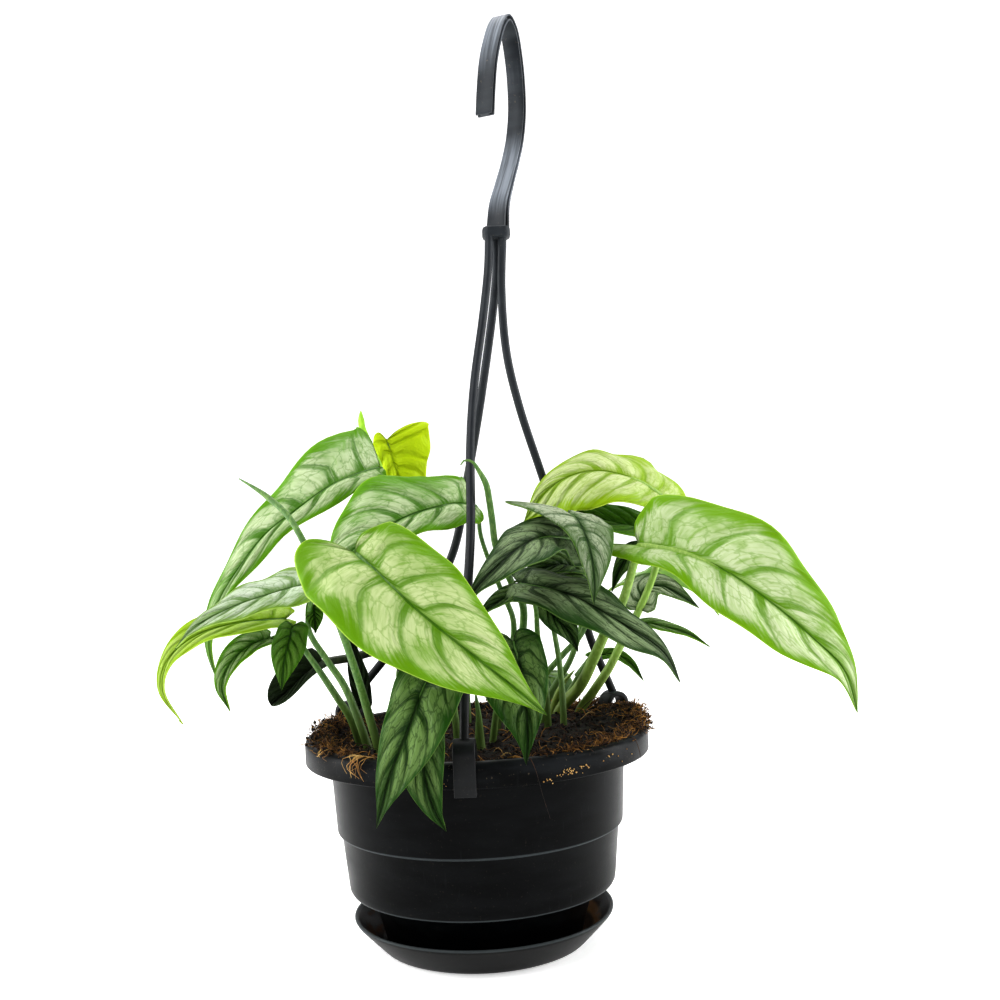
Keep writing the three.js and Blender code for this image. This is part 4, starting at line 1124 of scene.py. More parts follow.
FOLIAGE: dict[str, list[Leaf]] = {
    "leaf_front_lime": [Leaf(
        Tone.FRONT, half=(22, 25), lobe=18, outlines=(ROUND, HEART), sag=4, wave=1.4,
        radii=(0.7, 2.2),
        rib=((-42, -88, 174), (-36, -92, 169), (-21, -99, 154), (-5, -103, 140), (10, -102, 127),
             (26, -97, 112)),
        face=((-0.05, -0.82, 0.57), (0, -0.9, 0.43), (0.1, -0.95, 0.3)),
        stalk=((-40, -84, 171), (-35, -74, 161), (-30, -56, 138), (-26, -42, 112), (-23, -34, 80)),
    )],
    "leaf_top_left": [Leaf(
        Tone.GREEN, half=(9, 25), lobe=6, outlines=(ROUND, CROWN), sag=3, wave=1.6,
        radii=(0.7, 2),
        rib=((-37, -12, 208), (-48, -16, 205), (-59, -20, 200), (-72, -24, 191), (-84, -28, 182),
             (-95, -30, 169), (-105, -32, 153), (-109, -32, 137), (-106, -31, 119)),
        face=((-0.2, -0.75, 0.6), (-0.4, -0.7, 0.6), (-0.85, -0.5, 0.2)),
        stalk=((-36, -10, 207), (-37, -4, 196), (-34, 2, 167), (-31, 0, 132), (-28, -8, 107),
               (-28, -12, 80)),
    ), Leaf(
        Tone.GREEN, radii=(1.5, 1.3), skin=Stalk.LIME,
        stalk=((-46, 11, 234.5), (-46, 11, 231), (-45.5, 9, 227), (-43, 5, 221), (-40, -1, 214),
               (-37.5, -6, 209), (-37, -8, 205)),
    )],
    "leaf_left_silver": [Leaf(
        Tone.FRESH, half=(13, 13), lobe=9, outlines=(HEART, HEART), fold=10, sag=2, wave=1,
        radii=(0.7, 2.1),
        rib=((-59, -57, 161), (-67, -60, 161), (-80, -64, 158), (-93, -66, 154),
             (-107, -66, 147), (-116, -62, 139)),
        face=((-0.1, -0.5, 0.86), (-0.25, -0.55, 0.8)),
        stalk=((-60, -56, 160), (-64, -51, 153), (-66, -44, 142), (-60, -38, 129),
               (-54, -34, 118), (-49, -30, 103), (-43, -26, 80)),
    ), Leaf(
        Tone.PLAIN, half=(3.6, 3.6), fold=10,
        rib=((-63, -49, 152), (-63, -48, 148), (-63, -47, 141)),
        face=((0.1, -0.9, 0.3), (0, -1, 0)),
    )],
    "stem_left_low": [Leaf(
        Tone.LIME, half=(8, 8), lobe=5, fold=12, wave=0.6, radii=(0.7, 2.1),
        rib=((-76, -42, 147), (-85, -44, 147), (-97, -46, 146), (-111, -48, 142),
             (-121, -48, 134), (-125, -46, 121), (-119, -42, 106)),
        face=((-0.1, -0.6, 0.8), (-0.5, -0.65, 0.55), (-0.85, -0.5, 0)),
        stalk=((-75, -41, 146), (-71, -38, 137), (-64, -32, 124), (-58, -26, 112),
               (-53, -19, 101), (-48, -10, 80)),
    ), Leaf(
        Tone.GREEN, half=(5, 6), fold=14, radii=(0.7, 1),
        rib=((-83, -40, 139), (-90, -46, 137), (-97, -48, 131), (-101, -48, 122), (-99, -46, 111)),
        face=((-0.3, -0.8, 0.5), (-0.5, -0.85, 0)),
        stalk=((-82, -39, 139), (-76, -38, 140), (-71, -38, 138)),
    ), Leaf(
        Tone.PLAIN, half=(7, 7), fold=-14, radii=(0.7, 1),
        rib=((-71, -54, 145), (-72, -58, 140), (-74, -60, 132), (-76, -58, 120)),
        face=((-0.1, -0.9, 0.4), (-0.1, -1, -0.1)),
        stalk=((-71, -53, 145), (-76, -47, 144), (-74, -38, 138)),
    )],
    "leaf_back_yellow": [Leaf(
        Tone.YELLOW, half=(19, 7), lobe=5, outlines=(FULL, HEART), sag=2, wave=0.8,
        radii=(0.6, 1.7),
        rib=((-37, 44, 223), (-35, 43, 217), (-33, 42, 209), (-30, 43, 200), (-28, 45, 191),
             (-27, 47, 184)),
        face=((0.1, -0.9, 0.4), (0.2, -0.95, 0.2)),
        stalk=((-36, 46, 222), (-36, 51, 213), (-35, 50, 196), (-34, 40, 170), (-31, 24, 139),
               (-28, 12, 108), (-25, 8, 80)),
    )],
    "leaf_second": [Leaf(
        Tone.GREEN, half=(12, 25), lobe=4, outlines=(HEART, BROAD), sag=3, wave=1.3,
        rib=((2, -27, 190), (-4, -30, 191), (-11, -34, 190), (-23, -38, 187), (-36, -41, 181),
             (-48, -41, 173), (-59, -38, 162)),
        face=((-0.1, -0.7, 0.7), (-0.1, -0.85, 0.5)),
        stalk=((4, -25, 189), (5, -22, 178), (7, -18, 170), (13, -10, 153), (18, -4, 139),
               (17, 2, 125), (11, 4, 103), (8, 2, 80)),
    )],
    "spear_left": [Leaf(
        Tone.LIME, radii=(1.1, 2),
        stalk=((-89, -58, 204), (-81, -62, 199), (-77, -64, 196), (-69, -71, 189),
               (-63, -77, 180), (-57, -79, 166), (-51, -74, 148), (-47, -58, 128),
               (-44, -43, 109), (-38, -36, 80)),
    )],
    "spear_middle": [Leaf(
        Tone.GREEN, radii=(1.2, 2.1),
        stalk=((-2, -49, 206), (0, -49, 208), (3, -49, 207), (5, -48, 204), (8, -46, 198),
               (9, -43, 192), (10, -39, 183), (11, -34, 173), (18, -14, 155), (23, 2, 143),
               (21, 10, 124), (16, 12, 101), (14, 12, 80)),
    )],
    "leaf_middle_dark": [Leaf(
        Tone.DUSK, half=(15.5, 10), lobe=6, wave=1, veins=8,
        rib=((45, -19, 173), (37, -26, 175), (28, -38, 175), (20, -52, 172), (10, -66, 165),
             (2, -74, 158), (-3, -78, 151)),
        face=((-0.2, -0.9, 0.4), (-0.3, -0.95, 0.2)),
        stalk=((45, -18, 171), (47, -11, 163), (52, -4, 150), (49, 2, 132), (40, 4, 122),
               (31, 6, 112), (25, 6, 102), (21, 4, 90), (19, 4, 80)),
    ), Leaf(
        Tone.DARK, half=(6, 7), fold=10,
        rib=((47, -13, 161), (38, -20, 163), (28, -26, 161), (18, -30, 157)),
        face=((0, -0.7, 0.7), (0, -0.8, 0.6)),
    )],
    "leaf_long_dark": [Leaf(
        Tone.DUSK, half=(12, 14), lobe=7, sag=2, wave=1.2, veins=8,
        rib=((20, -37, 157), (30, -42.5, 155), (42, -46.5, 151), (52, -49, 145), (64, -49, 137),
             (77, -45, 127), (85, -38, 113)),
        face=((0.1, -0.6, 0.8), (0.2, -0.7, 0.7)),
        stalk=((21, -35, 156), (26, -30, 149), (28, -14, 131), (31, 0, 109), (32, 6, 80)),
    ), Leaf(
        Tone.DARK, half=(5, 5), fold=16,
        rib=((25, -33, 153), (16, -42, 152), (8, -51, 149), (1, -59, 145)),
        face=((0, -0.6, 0.8), (-0.1, -0.7, 0.7)),
    )],
    "leaf_under_long": [Leaf(
        Tone.DARK, half=(9, 9), lobe=5, wave=0.8, radii=(0.7, 1.7),
        rib=((25, -22, 155), (36, -23, 155), (48, -22, 152), (60, -18, 146), (73, -12, 136)),
        face=((0, -0.5, 0.85), (0.2, -0.5, 0.8)),
        stalk=((26, -22, 154), (32, -18, 146), (36, -12, 128), (38, -6, 108), (38, -4, 80)),
    ), Leaf(
        Tone.DARK, half=(7, 6), fold=10,
        rib=((30, -20, 148), (34, -19, 142), (41, -18, 134), (45, -17, 125)),
        face=((0, -0.8, 0.5), (0, -0.9, 0.4)),
    )],
    "stem_right_big": [Leaf(
        Tone.BIG, half=(28, 19), lobe=20, outlines=(ROUND, TONGUE), fold=16, sag=5, wave=1.8,
        radii=(1.3, 3.2), skin=Stalk.PALE,
        rib=((72, -26, 170), (84, -32, 168), (102, -42, 160), (120, -50, 146), (137, -52, 130),
             (149, -50, 117), (156, -44, 98)),
        face=((-0.1, -0.8, 0.6), (0.1, -0.85, 0.5), (0.3, -0.85, 0.4)),
        stalk=((72, -24, 169), (70, -20, 162), (66, -10, 146), (59, 2, 131), (54, 12, 118),
               (48, 20, 105), (38, 29, 92), (34, 30, 80)),
    ), Leaf(
        Tone.LIME, radii=(0.6, 2.8), skin=Stalk.PALE,
        stalk=((46, 18, 113), (40, 24, 105), (36, 29, 94), (34, 30, 84)),
    )],
    "leaf_silver_saddle": [Leaf(
        Tone.SILVER, half=(14, 29), lobe=7, outlines=(HEART, SADDLE), fold=5, sag=2, wave=0.8,
        radii=(0.7, 1.7),
        rib=((43, -18, 185), (46, -28, 182), (49, -40, 172), (50, -48, 160), (49, -53, 148)),
        face=((0.3, -0.3, 0.9), (0.15, -0.85, 0.5), (0.2, -0.98, 0.1)),
        stalk=((43, -16, 184), (48, -4, 172), (54, 6, 154), (50, 12, 136), (44, 16, 118),
               (33, 18, 100), (28, 18, 80)),
    )],
    "stem_right_top": [Leaf(
        Tone.TOP, half=(21, 22), lobe=20, outlines=(FLANK, FULL), fold=6, sag=5, wave=1,
        radii=(1.2, 2.4), skin=Stalk.PALE,
        rib=((89, 12, 190), (79, 8, 197), (69, 4, 201), (58, 2, 203), (46, 3, 201), (36, 5, 195),
             (25, 6, 182)),
        face=((0, -0.6, 0.8), (0, -0.65, 0.75), (-0.4, -0.7, 0.5)),
        stalk=((88, 12, 189), (88, 12, 175), (84, 11, 158), (75, 12, 138), (68, 16, 125),
               (62, 20, 113), (54, 24, 101), (48, 27, 92), (46, 28, 80)),
    ), Leaf(
        Tone.PLAIN, half=(12, 12), fold=10,
        rib=((86, 11, 174), (76, 8, 177), (64, 6, 180), (50, 4, 185), (38, 2, 188)),
        face=((0, -0.5, 0.85), (0, -0.6, 0.8)),
    ), Leaf(
        Tone.SILVER, half=(8, 8), fold=10,
        rib=((76, 12, 140), (80, 22, 148), (88, 24, 149), (97, 20, 144), (104, 16, 139)),
        face=((0, -0.6, 0.8), (0, -0.7, 0.7)),
    ), Leaf(
        Tone.GREEN, half=(3.4, 3.4), lobe=1, fold=10,
        rib=((71, 14, 131), (79, 11, 133), (88, 8, 131), (97, 4, 128), (105, 0, 123)),
        face=((0, -0.6, 0.8), (0, -0.7, 0.7)),
    ), Leaf(
        Tone.DARK, half=(6, 5), fold=10,
        rib=((85, 11, 165), (73, 3, 166), (66, -1, 159), (62, -3, 149)),
        face=((0, -0.7, 0.7), (0, -0.9, 0.3)),
    )],
    "stem_right_back": [Leaf(
        Tone.PLAIN, half=(4, 4), fold=10, radii=(0.8, 1.8),
        rib=((56, 43, 115), (67, 42, 116), (74, 40, 112), (80, 36, 104)),
        face=((0, -0.5, 0.85), (0, -0.6, 0.8)),
        stalk=((54.6, 43.2, 113.6), (50, 44, 107), (41, 45, 92), (36, 45, 80)),
    ), Leaf(
        Tone.GREEN, half=(16, 16), lobe=10, outlines=(HEART, HEART), sag=3, wave=1.2,
        radii=(0.7, 1.4),
        rib=((76, 50, 150), (92, 60, 155), (106, 67, 150), (118, 70, 140), (124, 70, 130)),
        face=((0, 0.3, 0.95), (0.3, 0.4, 0.85)),
        stalk=((76, 50, 149), (70, 47, 136), (60, 45, 120), (48.6, 44.6, 106)),
    )],
    "leaf_middle_hanging": [Leaf(
        Tone.DARK, half=(11, 19), lobe=6, outlines=(HEART, HEART), sag=2, wave=0.8, veins=8,
        rib=((16, -54, 135), (18, -64, 125), (19, -72, 114), (19, -79, 102), (18, -81, 91)),
        face=((0, -0.8, 0.6), (0, -1, 0.1)),
        stalk=((16, -52, 135), (13, -44, 122), (9, -34, 107), (5, -26, 80)),
    )],
    "leaf_front_hanging": [Leaf(
        Tone.DARK, half=(15, 11), lobe=6, outlines=(HEART, HEART), fold=10, sag=2, wave=1,
        veins=8, radii=(0.7, 1.9),
        rib=((-13, -80, 130), (-18, -86, 125), (-24, -92, 111), (-32, -92, 93), (-39, -85, 71)),
        face=((-0.1, -0.8, 0.5), (-0.2, -0.95, 0.2), (-0.2, -1, 0)),
        stalk=((-13, -79, 131), (-11, -66, 126), (-9, -52, 112), (-7, -42, 80)),
    )],
    "leaf_front_hanging_short": [Leaf(
        Tone.DARK, half=(9, 10), lobe=4, wave=0.8, veins=8, radii=(0.7, 1.7),
        rib=((-19, -78, 117), (-21, -83, 103), (-20, -84, 88), (-17, -82, 76), (-13, -79, 67)),
        face=((0, -1, 0.1), (0, -1, 0)),
        stalk=((-19, -77, 117), (-20, -66, 120), (-18, -54, 110), (-16, -44, 80)),
    )],
    "leaf_curled_dark": [Leaf(
        Tone.DEEP, half=(7, 8), outlines=(BLUNT, BLUNT), fold=34, radii=(1.9, 1.9),
        skin=Stalk.DARK,
        rib=((-67, 4, 123), (-74, 0, 119), (-82, -4, 112), (-89, -6, 107)),
        face=((-0.3, -0.7, 0.6), (-0.4, -0.8, 0.3)),
        stalk=((-66, 5, 123), (-55, 10, 124), (-40, 16, 125), (-30, 20, 111), (-23, 22, 96),
               (-21, 22, 80)),
    )],
    "leaf_narrow_dark": [Leaf(
        Tone.DEEP, half=(4.5, 4.5), fold=20, radii=(0.7, 1.5), skin=Stalk.DARK,
        rib=((-50, 8, 104), (-51, 6, 114), (-53, 4, 126), (-54, 2, 138)),
        face=((0, -1, 0), (0, -1, 0)),
        stalk=((-49, 8, 104), (-47, 8, 98), (-43, 6, 80)),
    )],
    "sheath_front": [Leaf(
        Tone.GREEN, radii=(0.6, 3.4),
        stalk=((0, -42, 114), (1, -39, 104), (1, -36, 94), (1, -35, 80)),
    )],
    "leaf_back_left": [Leaf(
        Tone.GREEN, half=(16, 16), lobe=10, outlines=(HEART, HEART), sag=3, wave=1.2,
        rib=((-12, 56, 152), (-24, 68, 156), (-38, 78, 152), (-50, 86, 142), (-58, 90, 128)),
        face=((-0.2, 0.3, 0.9), (-0.4, 0.5, 0.75)),
        stalk=((-11, 55, 151), (-6, 44, 130), (-4, 34, 105), (-4, 30, 80)),
    )],
    "leaf_back_hanging": [Leaf(
        Tone.DARK, lobe=6, outlines=(HEART, HEART), sag=2, wave=1,
        rib=((-27, 66, 116), (-30, 84, 111), (-32, 96, 94), (-33, 100, 70), (-32, 98, 52)),
        face=((-0.2, 0.4, 0.9), (-0.3, 1, 0)),
        stalk=((-26, 65, 116), (-23, 52, 114), (-20, 40, 100), (-18, 36, 80)),
    )],
    "leaf_back_hanging_short": [Leaf(
        Tone.DARK, half=(12, 12), lobe=7, outlines=(HEART, HEART), sag=2, wave=1,
        radii=(0.7, 1.7),
        rib=((32, 70, 104), (38, 86, 102), (43, 97, 88), (45, 99, 66)),
        face=((0.2, 0.4, 0.9), (0.3, 1, 0)),
        stalk=((31, 69, 104), (27, 58, 103), (23, 47, 94), (22, 42, 80)),
    )],
}


# Pot, saucer and hanger


class Ware(Enum):
    """The plastics and the soil's finishes."""

    POT = Plastic("pot_plastic", "050607", "050607", "44484c", 0.25, 0.40, 0.079, 0.090, 0.07,
                  ((0.0502, 0.0520), (0.0246, 0.0262)))
    SAUCER = Plastic("saucer_plastic", "0b0c0d", "0b0c0d", "3a3834", 0.28, 0.4, 0.011, 0.015, 0.1,
                     ((0.0128, 0.0143),), "5c3a1c")
    HANGER = Plastic("hanger_plastic", "262a2f", "0c0e10", "5a6064", 0.36, 0.5, 0.2, 0.5, 0.26,
                     strap_sheen="8c929a")
    PEAT = Crumble("peat", "070402", "22150b", 420)
    COIR = Crumble("coir_fibre", "5c3a16", "b08038", 160, 0.8, 0.2)
    HUSK = Crumble("dark_fibre", "180e07", "4c2e16", 200, 0.85, 0.2)
    ROOT = Crumble("pale_root", "9c7034", "dcb878", 160, 0.7, 0.2)


@dataclass
class Saucer:
    """The dish under the pot, in millimetres."""

    base: float = 45
    rim: float = 56.7
    height: float = 14
    floor: float = 2

    def build(self) -> None:
        """Turns the dish and leaves dried peat in it."""
        r, b, h, f = self.rim, self.base, self.height, self.floor
        piece = turned("saucer_dish", (
            (0, 0.4), (b - 9, 0.4), (b - 8, 0), (b - 1.4, 0), (b, 0.6), (b + 1.6, 2.1),
            (r - 0.9, h - 2.2), (r, h - 0.9), (r - 0.1, h - 0.2), (r - 0.8, h), (r - 1.6, h - 0.5),
            (r - 2.4, h - 1.9), (b + 0.4, f + 0.9), (b - 1.2, f), (0, f),
        ))
        round_edges(piece, 0.3)
        shade_soft(piece, 35)
        hand_over(piece, ["saucer"], finish_of(Ware.SAUCER))


@dataclass
class Pot:
    """The stepped pot with its turned-over rim, in millimetres."""

    foot: float = 43
    foot_top: float = 48.5
    shelf: float = 58.2
    shelf_z: float = 24.8
    step_low: float = 60.6
    step_high: float = 62.3
    step_z: float = 50.4
    neck: float = 64.4
    neck_z: float = 83
    rim: float = 75
    rim_low: float = 81.5
    rim_top: float = 91.5
    lip: float = 70
    wall: float = 1.6
    base: float = 2.3
    steps: int = 144

    def build(self) -> None:
        """Turns the pot from its foot over the rim and down its inside."""
        w = self.wall
        skirt = self.rim - w
        piece = turned("hanging_pot", (
            (0, self.base), (self.foot - 1, self.base), (self.foot, self.base + 1),
            (self.foot_top, self.shelf_z - 1), (self.foot_top + 1, self.shelf_z),
            (self.shelf - 2.4, self.shelf_z), (self.shelf - 0.8, self.shelf_z + 0.5),
            (self.shelf - 0.1, self.shelf_z + 1.8), (self.shelf + 0.2, self.shelf_z + 4),
            (self.step_low, self.step_z - 0.2), (self.step_low + 0.4, self.step_z + 0.4),
            (self.step_high, self.step_z + 0.9), (self.step_high + 0.2, self.step_z + 1.6),
            (self.neck, self.neck_z), (self.lip - 0.2, self.rim_top - w - 0.3),
            (self.lip + 1.6, self.rim_top - w), (skirt - 0.6, self.rim_top - w),
            (skirt, self.rim_top - w - 0.6), (skirt, self.rim_low),
            (self.rim - 0.4, self.rim_low), (self.rim, self.rim_low + 0.5),
            (self.rim, self.rim_top - 2.1), (self.rim - 0.3, self.rim_top - 1.0),
            (self.rim - 0.95, self.rim_top - 0.3), (self.rim - 1.9, self.rim_top),
            (self.lip + 0.4, self.rim_top), (self.lip - 0.7, self.rim_top - 0.4),
            (self.lip - 1.4, self.rim_top - 1.2), (self.neck - w, self.neck_z),
            (self.step_high - w, self.step_z + 1.6), (self.step_low - w, self.step_z + 0.4),
            (self.shelf - w, self.shelf_z + w + 1.6), (self.shelf - w - 2.4, self.shelf_z + w),
            (self.foot_top - w, self.shelf_z + w), (self.foot - w, self.base + w),
            (0, self.base + w),
        ), self.steps)
        round_edges(piece, 0.28)
        shade_soft(piece, 35)
        hand_over(piece, ["pot"], finish_of(Ware.POT))


@dataclass
class Hanger:
    """Hook strap, collar, three arms and their clips, in millimetres."""

    centre: Pair = (18, 0.4)
    turn: float = 28
    hook: tuple[Pair, ...] = (
        (6, 361), (4, 372), (0.5, 386), (-5, 398), (-11, 407), (-16.5, 411), (-22.5, 407.5),
        (-26.5, 396), (-28, 384), (-27.5, 371), (-24, 358), (-18, 346), (-10.5, 334), (-4, 323),
        (-1, 311),
    )
    arms: dict[str, tuple[float, tuple[Point, ...]]] = field(default_factory=lambda: {
        "hanger_arm_front": (-94, (
            (14.6, -2.6, 306.9), (13.6, -6, 293), (10.2, -14, 270), (5.2, -25, 241),
            (2.4, -36, 214), (1, -48, 180), (-1.6, -58, 152), (-4.2, -67.5, 116),
        )),
        "hanger_arm_right": (26, (
            (20.6, -1.2, 306.9), (19.4, 3, 286), (20.6, 8, 258), (25.4, 12, 234), (36, 19, 198),
            (46, 24.5, 160), (55, 29, 125),
        )),
        "hanger_arm_left": (146, (
            (17.8, 3.4, 306.9), (17.6, 5.4, 294), (10, 14, 247), (1, 22, 204), (-9, 28, 165),
            (-35, 37, 128),
        )),
    })
    steps: int = 90
    strap_half: Pair = (4.0, 1.6)
    groove_half: float = 0.55
    groove_depth: float = 1.9
    flare: float = 0.20
    collar_half: Pair = (6.2, 5.2)
    collar_rings: tuple[Pair, ...] = (
        (307.5, 0.86), (307.9, 0.96), (308.8, 1), (311.2, 1), (312.1, 0.96), (312.5, 0.86),
    )
    collar_sides: int = 48
    arm_radius: float = 1.9
    arm_overlap: float = 2
    outer: float = 77.6
    inner: float = 66
    jaw: float = 73.1
    sill: float = 91.8
    clip_wall: float = 2.2
    clip_top: float = 100.6
    clip_foot: float = 79
    clip_width: float = 8.6

    def strap(self) -> Piece:
        """Extrudes the grooved strap along the hook's line.

        Returns:
            The strap.
        """
        turn = math.radians(self.turn)
        forward = np.array([-math.sin(turn), -math.cos(turn), 0])
        across = np.array([math.cos(turn), -math.sin(turn), 0])
        middle = np.array([*self.centre, 0])
        line = [middle + forward * along + np.array([0, 0, z]) for along, z in self.hook]
        rail = Rail(line)
        (w, t), g, d = self.strap_half, self.groove_half, self.groove_depth
        outline = (
            (-w, -t), (0, -t), (w, -t), (w, -g), (w - d, -g), (w - d, g), (w, g), (w, t), (0, t),
            (-w, t), (-w, g), (d - w, g), (d - w, -g), (-w, -g),
        )
        rings = []
        for share in np.linspace(0, 1, self.steps):
            heading = rail.heading(share)
            up = np.cross(heading, across)
            low = max(0.0, (share - (1 - self.flare)) / self.flare) ** 1.5
            wider, thicker = 1 + 0.1 * low, 1 + 0.9 * low
            rings.append(np.array([
                rail.place(share) + across * x * wider + up * (y * thicker - 0.9 * low)
                for x, y in outline
            ]))
        piece = loft("hook_strap", rings)
        round_edges(piece, 0.34)
        return piece

    def collar(self) -> Piece:
        """Makes the two-lobed collar under the strap.

        Returns:
            The collar.
        """
        cx, cy = self.centre
        half_x, half_y = self.collar_half
        sides, square = self.collar_sides, 0.62
        angle = np.linspace(0, TURN, sides, endpoint=False)
        waist = 1 - 0.13 * np.exp(-((np.cos(angle) / 0.3) ** 2))
        x = np.sign(np.cos(angle)) * np.abs(np.cos(angle)) ** square * half_x
        y = np.sign(np.sin(angle)) * np.abs(np.sin(angle)) ** square * half_y * waist
        rings = []
        for z, scale in self.collar_rings:
            rings.append(np.stack([cx + x * scale, cy + y * scale, np.full(sides, z)], axis=1))
        return loft("hook_collar", rings)

    def clip(self, name: str, azimuth: float) -> Piece:
        """Makes one clip that straddles the rim.

        Args:
            name: The clip's name.
            azimuth: Where it sits on the rim, in degrees.

        Returns:
            The clip.
        """
        middle, big = (self.outer + self.inner) / 2, (self.outer - self.inner) / 2
        wall, jaw, foot = self.clip_wall, self.jaw, self.clip_foot
        small, top = big - wall, self.clip_top - big
        sweep = np.radians(np.linspace(0, 180, 13))
        outline = [(jaw, foot), (self.outer, foot)]
        outline += [(middle + big * math.cos(a), top + big * math.sin(a)) for a in sweep]
        outline += [(self.inner, self.sill), (self.inner + wall, self.sill)]
        outline += [(middle + small * math.cos(a), top + small * math.sin(a)) for a in sweep[::-1]]
        outline += [(self.outer - wall, foot + 2), (jaw, foot + 2)]
        angle = math.radians(azimuth)
        out = np.array([math.cos(angle), math.sin(angle), 0])
        side = np.array([-math.sin(angle), math.cos(angle), 0])
        rings = [
            np.array([side * shift + out * r + np.array([0, 0, z]) for r, z in outline])
            for shift in (-self.clip_width / 2, self.clip_width / 2)
        ]
        piece = loft(name, rings)
        round_edges(piece, 0.5, 3)
        return piece

    def arm(self, name: str, azimuth: float, line: Sequence[Point]) -> Piece:
        """Draws one arm down to its clip.

        Args:
            name: The solid that it stands for.
            azimuth: Where its clip sits on the rim, in degrees.
            line: The places that it runs through.

        Returns:
            The arm with its clip.
        """
        seat = polar((self.outer + self.inner) / 2, math.radians(azimuth), self.clip_top - 1)
        x, y, z = line[0]
        rail = Rail([(x, y, z + self.arm_overlap), *line, seat])
        share = np.linspace(0, 1, self.steps)
        shaft = rod(f"{name}_shaft", rail.place(share), np.full(self.steps, self.arm_radius))
        return joined(f"{name}_dressed", [shaft, self.clip(f"{name}_clip", azimuth)])

    def build(self) -> None:
        """Makes the hook with its collar, and the three arms."""
        grey = finish_of(Ware.HANGER)
        top = joined("hanging_hook", [self.strap(), self.collar()])
        shade_soft(top, 35)
        hand_over(top, ["hanger_hook"], grey)
        for node, (azimuth, line) in self.arms.items():
            piece = self.arm(node, azimuth, line)
            shade_soft(piece, 40)
            hand_over(piece, [node], grey)


# Soil with its fibres, crumbs and roots


@dataclass(frozen=True)
class Spill:
    """A clump of bits: where round the pot, how wide, how far out, and how high it stands."""

    azimuth: float
    spread: float
    radius: float
    depth: float
    low: float
    height: float
    count: int


@dataclass(frozen=True)
class Litter:
    """Bits all over the soil: how many, what share keeps to the edge, and how high they reach."""

    name: str
    count: int
    edge_bias: float
    lift: float
    finish: Ware


